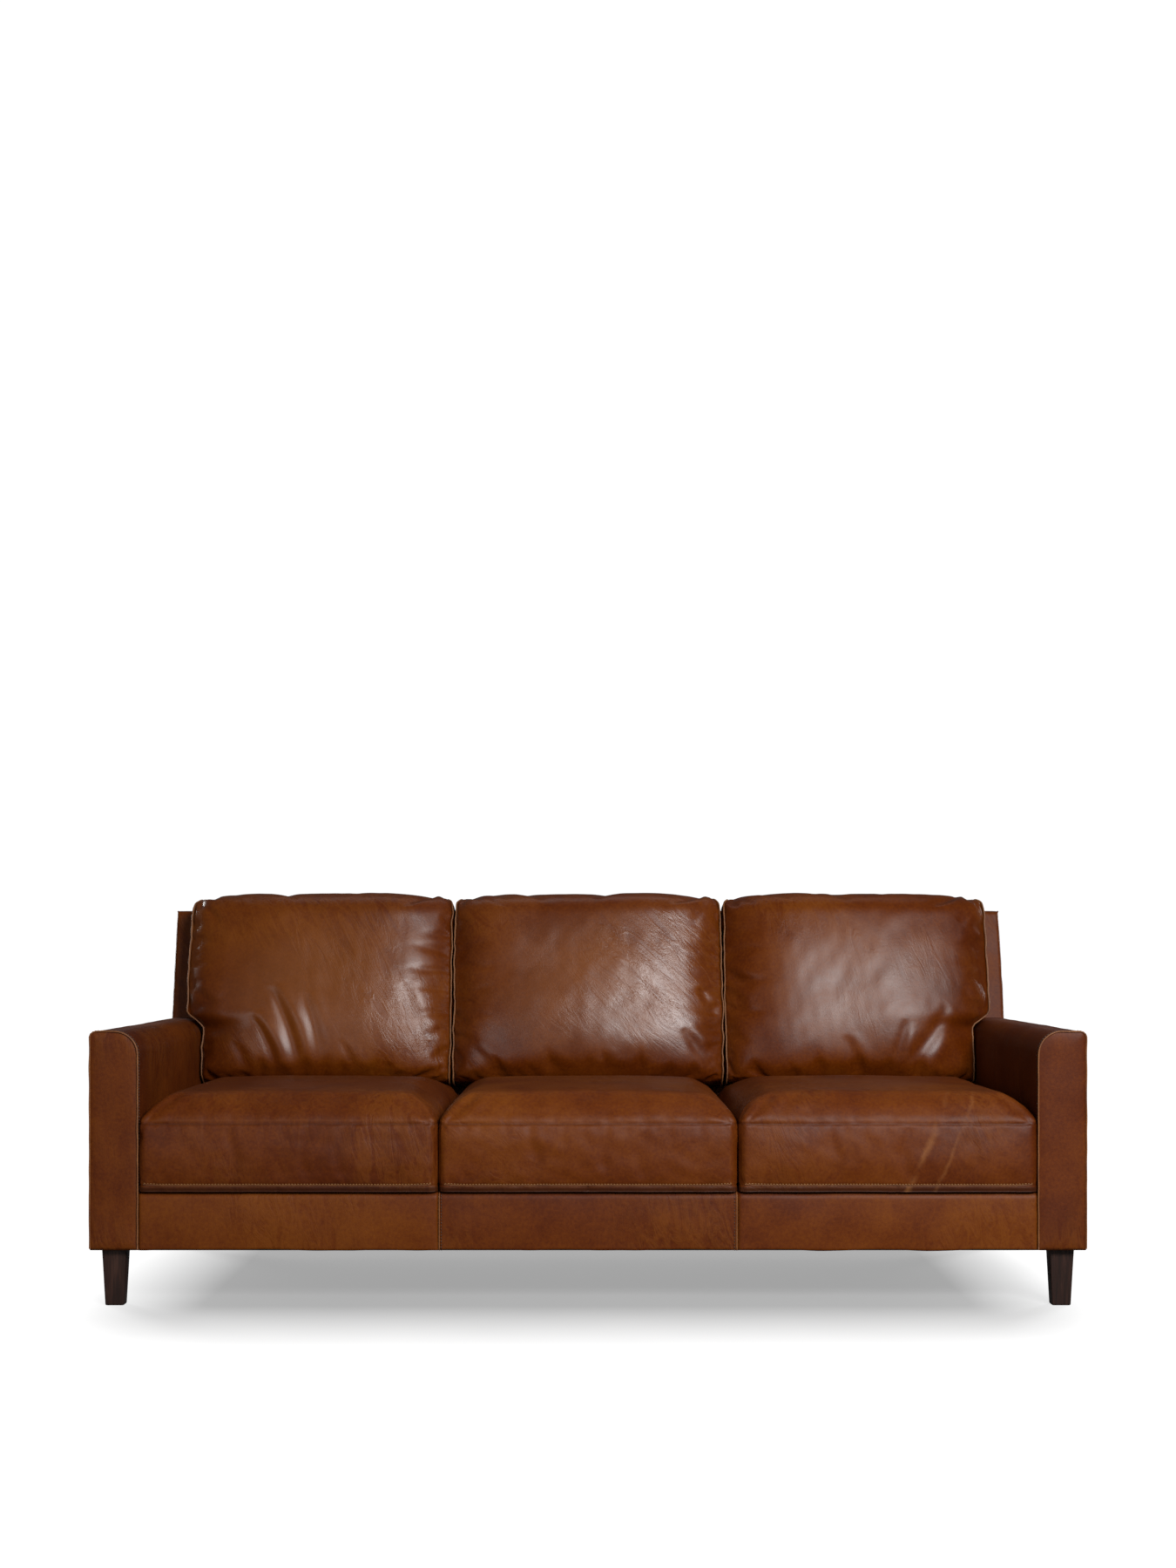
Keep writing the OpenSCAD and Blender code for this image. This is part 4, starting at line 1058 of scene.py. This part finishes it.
arm_tones = {LEFT: 0.38, RIGHT: 0.32}
for side in (LEFT, RIGHT):
    name = SIDE_NAMES[side]
    flip = slice(None, None, -1) if side < 0 else slice(None)

    x, z = arm_edge(92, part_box(f"{name}_arm_inside_panel")[0].z)
    share = np.concatenate([np.linspace(0, 0.05, 9)[:-1], np.linspace(0.05, 1, 104)])
    front_y, back = arm_front_y + 0.0015, back_y(z)
    y = front_y + (back - front_y)[:, None] * share
    facing = unit(np.stack([-np.gradient(z), 0 * x, np.gradient(x)], 1))
    up_side = np.clip((z - seat_floor_z) / (arm_top_z - seat_floor_z), 0, 1)
    padded_out = 0.0032 * np.sin(np.pi * up_side) ** 0.7
    padded_out = padded_out[:, None] * np.clip(share / 0.12, 0, 1) ** 0.5 * (z < arm_top_z - 0.004)[:, None]
    rolled = 0.0022 * bell(share * (back - front_y)[:, None], 0.005)
    points = np.stack([np.broadcast_to(x[:, None], y.shape), y, np.broadcast_to(z[:, None], y.shape)], -1)
    points += facing[:, None] * np.minimum(padded_out * 0.4 - rolled, 0.0010)[..., None]
    points[..., 0] *= side
    # Paler just behind the front edge, and darker in a line 9 mm further back: painted shade in a groove.
    pale_and_shade = 0.30 * bell(y - front_y, 0.005) - 0.5 * bell(y - front_y - 0.0090, 0.0035)
    finish = leather(f"arm_inside_leather_{name}", arm_tones[side], 10.0 + side, lines=(0.2, 0, 0.1))
    hide(f"{name}_arm_inside", points[:, flip], "frame", finish, [f"{name}_arm_inside_panel"], relief=0.0008,
         stretch=pale_and_shade[:, flip])

    t = np.linspace(0, QUARTER, 26)
    heights = np.concatenate([np.linspace(base_z + 0.0005, arm_top_z - arm_inner_r, 64)[:-1],
                              arm_top_z - arm_inner_r * (1 - np.sin(t))])
    inner_edge = arm_face_x + rounded_in(heights, arm_inner_r)
    outer_edge = arm_side_x - rounded_in(heights, arm_outer_r)
    across = np.linspace(0, 1, 30)
    across = across * across * (3 - 2 * across) * 0.5 + across * 0.5
    x = inner_edge[:, None] + (outer_edge - inner_edge)[:, None] * across
    z = np.broadcast_to(heights[:, None], x.shape)
    rim = np.minimum(np.minimum(x - inner_edge[:, None], outer_edge[:, None] - x),
                     np.minimum(arm_top_z - z, (z - base_z) + 0.004))
    y = arm_front_y + 0.0016 - 0.0048 * (1 - np.exp(-rim / 0.012)) - 0.0006 * ripple(
        np.stack([x, z, x * 0], -1), 0.12, 100 + side)
    y = y + 0.0008 * bell(z - base_z, 0.003)
    points = np.stack([x * side, y, z], -1)
    finish = leather(f"arm_front_leather_{name}", arm_tones[side] + 0.04, 12.0 + side, lines=(0, 0.1, 0))
    hide(f"{name}_arm_front", points[:, ::-1] if side > 0 else points, "frame", finish,
         [f"{name}_arm_front_panel"], relief=0.0007)

    foot, top = base_z, arm_top_z - arm_outer_r
    t = np.linspace(0, QUARTER, 7)
    z = np.concatenate([foot + 0.0015 * (1 - np.cos(t)), np.linspace(foot + 0.0015, top, 60)[1:]])
    x = np.concatenate([arm_side_x - 0.0015 * (1 - np.sin(t)), np.full(59, arm_side_x)])
    share = np.linspace(0, 1, 90)
    front_y = arm_front_y + 0.0025
    y = front_y + (rear_y(z) - 0.0008 - front_y)[:, None] * share
    edge = np.minimum(share, 1 - share) * 0.9
    up_side = np.clip((z - foot) / (top - foot), 0, 1)
    swell = 0.0015 * np.clip(edge / 0.08, 0, 1) * np.sin(np.pi * up_side)[:, None]
    points = np.stack([x[:, None] + swell - 0.0012 * bell(top - z, 0.003)[:, None], y,
                       np.broadcast_to(z[:, None], y.shape)], -1)
    points[..., 0] *= side
    finish = leather(f"arm_outside_leather_{name}", 0.46, 14.0 + side, lines=(0.3, 0, 0.2))
    hide(f"{name}_arm_outside", points[:, ::-1] if side > 0 else points, "frame", finish,
         [f"{name}_arm_outside_panel"], relief=0.0010)

    x, z = arm_edge(150, base_z + 0.002, stop_low=True)
    path = np.stack([side * x, np.full(len(x), arm_front_y + 0.0008), z], 1)
    outward = unit(np.stack([-np.gradient(z) * side, np.full(len(x), -0.55), np.gradient(x)], 1))
    welt(f"{name}_arm_edge", path - outward * 0.0012, outward, "frame", width=0.0046, thickness=0.0034,
         sway=0.0006, material=waxed_edge)
    x, z = arm_edge(150, rail_high.z)
    path = np.stack([side * x, np.full(len(x), arm_front_y + 0.0105), z], 1)
    outward = unit(np.stack([-np.gradient(z) * side, 0 * x, np.gradient(x)], 1))
    path += outward * 0.0006
    stitches(f"{name}_arm_stitches", path, outward, "frame", dark_thread, 0.0004)


# ---- Inside back ----
# One padded leather cover over the back's face, its top and the two wings above the arms,
# with boxed corners and a stitched seam down each wing.

back_low, back_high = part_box("inside_back_cover")
cells = (150, 14, 54)
places, quads = block_skin(cells)
i, j, k = places.T
edge_reach = 0.026
side_in = spaced_roll(8, edge_reach)[0]
half = back_high.x
xs = np.concatenate([-half + side_in, np.linspace(-half + edge_reach, half - edge_reach, cells[0] - 15)[1:-1],
                     (half - side_in)[::-1]])
top_in = spaced_roll(6, edge_reach)[0]
height = back_high.z - back_low.z
ups = np.concatenate([np.linspace(0, height - edge_reach, cells[2] - 5)[:-1], (height - top_in)[::-1]])
shares = np.linspace(0, 1, cells[1] + 1)
shares = (1 - np.cos(shares * math.pi)) / 2 * 0.5 + shares * 0.5
x, z, share = xs[i], back_low.z + ups[k], shares[j]
front, rear = back_y(z, 0.0004), rear_y(np.minimum(z, back_high.z)) - 0.0012
thick = rear - front
inwards = share * thick
square = 1e-6
x, inwards = rounded_corners(x, inwards, -half, half, 0, thick, (0.012, 0.012, square, square))
inwards_top, z = rounded_corners(inwards, z, 0, thick, back_low.z, back_high.z, (square, square, 0.012, 0.012))
x, z = rounded_corners(x, z, -half, half, back_low.z, back_high.z, (square, square, 0.004, 0.004))
y = back_y(z, 0.0004) + inwards_top
x = np.where(z < arm_top_z - arm_outer_r, np.clip(x, -half + 0.0026, half - 0.0026), x)
points = np.stack([x, y, z], 1)
kept_faces = quads[~(np.all(j[quads] == cells[1], axis=1) | np.all(k[quads] == 0, axis=1))]
used, kept_faces = np.unique(kept_faces, return_inverse=True)
finish = leather("back_frame_leather", 0.50, 16.0, lines=(0.3, 0.6, 0))
thing = mesh_piece("inside_back", points[used], kept_faces.reshape(-1, 4).tolist(), "frame", finish)
subdivided(thing)
mesh = thing.data
points, out = coordinates(mesh), coordinates(mesh, "normal")
open_part = np.clip((points[:, 2] - arm_top_z - 0.004) / 0.03, 0, 1)
relief = 0.0011 * ripple(points, 0.16, 110) + 0.0006 * ripple(points * [1.2, 1, 1], 0.05, 111)
points += out * (relief * open_part - 0.0004)[:, None]
set_points(mesh, points)
# Its creases darken as painted shade and its ridges pale; the top edge is paler still.
shade_by_bend(mesh, 0.05, 0.12 * bell(points[:, 2] - back_high.z, 0.012))
mesh.polygons.foreach_set("use_smooth", np.full(len(mesh.polygons), True))
wall = thing.modifiers.new("Wall", "SOLIDIFY")
wall.thickness = 0.002
wall.offset = -1
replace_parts(thing, "inside_back_cover")
for side in (LEFT, RIGHT):
    z = np.linspace(arm_top_z + 0.002, back_high.z - 0.012, 60)
    path = np.stack([np.full(60, side * (half - 0.010)), back_y(z) - 0.0002, z], 1)
    path[:, 1] += 0.0036
    outward = np.tile(unit(np.array([side * 0.35, -0.93, 0.0])), (60, 1))
    stitches(f"wing_stitches_{SIDE_NAMES[side]}", path, outward, "frame", dark_thread, 0.0008)


# ---- Outside back ----
# Three leather panels across the rear, sewn edge to edge with two upright seams and stapled
# under the rear rail. Each edge is folded in.

z = np.concatenate([panel_foot_z + 0.0015 * (1 - np.cos(np.linspace(0, QUARTER, 7))),
                    np.linspace(panel_foot_z + 0.0015, panel_top_z, 70)[1:]])
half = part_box("outside_back_panel")[1].x
seams = half / 3.05
x = np.linspace(-half, half, 260)
from_seam = np.minimum(np.abs(x - seams), np.abs(x + seams))
inset = np.concatenate([0.0015 * (1 - np.sin(np.linspace(0, QUARTER, 7))), np.zeros(69)])
groove = 0.0022 * bell(from_seam, 0.005) + 0.0018 * bell(half - np.abs(x), 0.006)
up_panel = np.clip((z - panel_foot_z) / (panel_top_z - panel_foot_z), 0, 1)
y = (rear_y(z) - inset)[:, None] - groove + 0.0010 * np.sin(np.pi * up_panel)[:, None]
points = np.stack([np.broadcast_to(x, y.shape), y, np.broadcast_to(z[:, None], y.shape)], -1)
# Paler beside each seam and darker along it: painted shade in the seam groove.
pale_and_shade = np.broadcast_to(0.3 * bell(from_seam - 0.006, 0.005) - 0.5 * bell(from_seam, 0.003), y.shape)
hide("outside_back", points, "frame", leather("outside_back_leather", 0.48, 17.0, lines=(0.3, 0.1, 0.4)),
     ["outside_back_panel"], relief=0.0010, stretch=pale_and_shade)
for side in (LEFT, RIGHT):
    z = np.linspace(panel_foot_z + 0.004, panel_top_z - 0.002, 60)
    path = np.stack([np.full(60, side * (seams + 0.0075)), rear_y(z) + 0.0006, z], 1)
    stitches(f"rear_stitches_{SIDE_NAMES[side]}", path, np.tile([0.0, 1.0, 0.0], (60, 1)), "frame",
             dark_thread, 0.0004)


# ---- Legs ----
# Four solid wooden legs, tapered on all sides, stained nearly black and waxed. Their edges are
# eased. Bolts run up from the plates into the corner blocks.

def leg_wood(name, seed):
    """Dark open-grained wood: fine pale streaks up the leg in a brown-black stain, waxed to a low sheen."""
    material, tree, shader, place = new_material(name)
    offset = stretched(tree, place, (1, 1, 1), shift=(seed, seed * 2.3, 0))
    streaks = noise(tree, stretched(tree, offset, (210, 210, 7)), 1.0, 5.0, 0.65, 0.4)
    bands = noise(tree, stretched(tree, offset, (34, 34, 2.2)), 1.0, 3.0, 0.5, 0.8)
    tone = maths(tree, "ADD", maths(tree, "MULTIPLY", streaks, 0.55), maths(tree, "MULTIPLY", bands, 0.45))
    tree.links.new(graded(tree, tone, (0.34, (0.008, 0.0045, 0.0035)), (0.52, (0.026, 0.012, 0.009)),
                          (0.70, (0.066, 0.030, 0.021))), shader.inputs["Base Color"])
    tree.links.new(fitted(tree, streaks, 0.3, 0.7, 0.5, 0.34), shader.inputs["Roughness"])
    shader.inputs["Specular IOR Level"].default_value = 0.25
    bumped(tree, shader, streaks, 0.0004, 0.4)
    return material


corner = np.repeat([(1, 1), (-1, 1), (-1, -1), (1, -1)], 5, axis=0)
turn = np.linspace(0, QUARTER, 5)
turn = np.concatenate([turn + q * QUARTER for q in range(4)])
for seed, node in enumerate(("front_left_leg", "front_right_leg", "rear_left_leg", "rear_right_leg")):
    low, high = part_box(node)
    leg_points = cad_points(node)
    soles = leg_points[leg_points[:, 2] < low.z + 0.0005]
    centre = np.array([(low.x + high.x) / 2, (low.y + high.y) / 2])
    half_top = np.array([high.x, high.y]) - centre
    taper = half_top[0] - (soles[:, 0].max() - centre[0])
    levels = np.concatenate([[0.0, 0.0006, 0.0016, 0.003], np.linspace(0.006, high.z - low.z - 0.0002, 24)])
    bevel = np.interp(levels, [0, 0.0006, 0.0016, 0.003], [0.0022, 0.0010, 0.0003, 0.0])
    half_width = half_top - (taper * (1 - levels / levels[-1]) + bevel)[:, None]
    eased = 0.0032
    plan = corner * (half_width[:, None] - eased) + eased * np.stack([np.cos(turn), np.sin(turn)], 1)
    z = np.broadcast_to(levels[:, None, None] + low.z, (*plan.shape[:2], 1))
    points = np.concatenate([plan + centre, z], -1)
    around = plan.shape[1]
    faces = grid_faces(len(levels), around, wrap_columns=True)[:, ::-1].tolist()
    faces += [list(range(around))[::-1], [(len(levels) - 1) * around + n for n in range(around)]]
    thing = mesh_piece(f"{node}_turned", points, faces, "frame", leg_wood(f"leg_wood_{seed}", seed * 0.37),
                       smooth=True)
    thing.data.set_sharp_from_angle(angle=0.9)
    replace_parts(thing, node)


# ---- Floor, light and camera ----
# A white studio floor with a painted shadow under the sofa, a large softbox high on the right, and
# weaker ones on the left, above and at both rear corners. The surround is an even white.

def studio_floor():
    """White paper floor. It glows white all over for the camera, and the glow fades to grey near the sofa: a
    painted shadow.
    """
    material, tree, shader, place = new_material("studio_floor")
    parts = add(tree, "SeparateXYZ", Vector=place).outputs
    off_x = maths(tree, "MAXIMUM", maths(tree, "SUBTRACT", maths(tree, "ABSOLUTE", parts[0]), 0.84), 0.0)
    off_x = maths(tree, "MULTIPLY", off_x, 1.5)
    off_y = maths(tree, "MAXIMUM", maths(tree, "SUBTRACT", maths(tree, "ABSOLUTE", parts[1]), 0.42), 0.0)
    away = maths(tree, "SQRT", maths(tree, "ADD", maths(tree, "MULTIPLY", off_x, off_x),
                                     maths(tree, "MULTIPLY", off_y, off_y)))
    paper = noise(tree, place, 3.0, 2.0)
    # The glow fades out near the sofa: this fade is a painted shadow.
    painted_shadow_fade = fitted(tree, maths(tree, "ADD", away, maths(tree, "MULTIPLY", paper, 0.02)), 0.04, 0.58)
    grey = graded(tree, paper, (0.3, (0.11, 0.11, 0.11)), (0.7, (0.12, 0.12, 0.12)))
    tree.links.new(grey, shader.inputs["Base Color"])
    shader.inputs["Roughness"].default_value = 0.9
    shader.inputs["Emission Color"].default_value = (1, 1, 1, 1)
    seen = tree.nodes.new("ShaderNodeLightPath").outputs["Is Camera Ray"]
    glow_with_painted_shadow = maths(tree, "ADD", 0.36, maths(tree, "MULTIPLY", painted_shadow_fade, 0.75))
    tree.links.new(maths(tree, "MULTIPLY", glow_with_painted_shadow, seen), shader.inputs["Emission Strength"])
    return material


floor_mesh = bpy.data.meshes.new("floor")
floor_mesh.from_pydata([(-12, -9, 0), (12, -9, 0), (12, 14, 0), (-12, 14, 0)], [], [(0, 1, 2, 3)])
floor_mesh.materials.append(studio_floor())
floor = bpy.data.objects.new("floor", floor_mesh)
scene.collection.objects.link(floor)

world = bpy.data.worlds.new("studio")
scene.world = world
world.use_nodes = True
sky = world.node_tree
sky.nodes.clear()
seen = sky.nodes.new("ShaderNodeLightPath").outputs["Is Camera Ray"]
surround = sky.nodes.new("ShaderNodeBackground")
surround.inputs["Color"].default_value = (1, 1, 1, 1)
brightness = fitted(sky, seen, 0.0, 1.0, 0.08, 1.05)
sky.links.new(brightness, surround.inputs["Strength"])
sky.links.new(surround.outputs[0], sky.nodes.new("ShaderNodeOutputWorld").inputs["Surface"])


def softbox(name, place, aim, width, height, power):
    """A rectangular studio light at a place, facing a point."""
    light = bpy.data.lights.new(name, "AREA")
    light.shape = "RECTANGLE"
    light.size, light.size_y, light.energy = width, height, power
    thing = bpy.data.objects.new(name, light)
    thing.location = place
    direction = [a - p for a, p in zip(aim, place)]
    flat = math.hypot(direction[0], direction[1])
    thing.rotation_euler = (QUARTER + math.atan2(direction[2], flat), 0,
                            math.atan2(direction[1], direction[0]) - QUARTER)
    scene.collection.objects.link(thing)
    return thing


softbox("key", (1.9, -4.3, 2.8), (0.05, 0.1, 0.6), 2.1, 1.25, 292)
softbox("fill", (-2.6, -5.0, 1.3), (0, 0, 0.4), 2.4, 1.8, 34)
softbox("top", (0, 0.9, 3.2), (0, 0.4, 0.6), 3.2, 0.6, 6)
for side in (LEFT, RIGHT):
    softbox(f"rear_{SIDE_NAMES[side]}", (side * 4.4, 3.4, 1.6), (0, 0.4, 0.4), 1.6, 1.6, 150)

camera_data = bpy.data.cameras.new("camera")
camera_data.sensor_width = 36
camera_data.lens = 41.42
camera_data.shift_y = 0.104
camera = bpy.data.objects.new("camera", camera_data)
camera.location = (0, -4.47, 0.80)
camera.rotation_euler = (QUARTER, 0, 0)
scene.collection.objects.link(camera)
scene.camera = camera
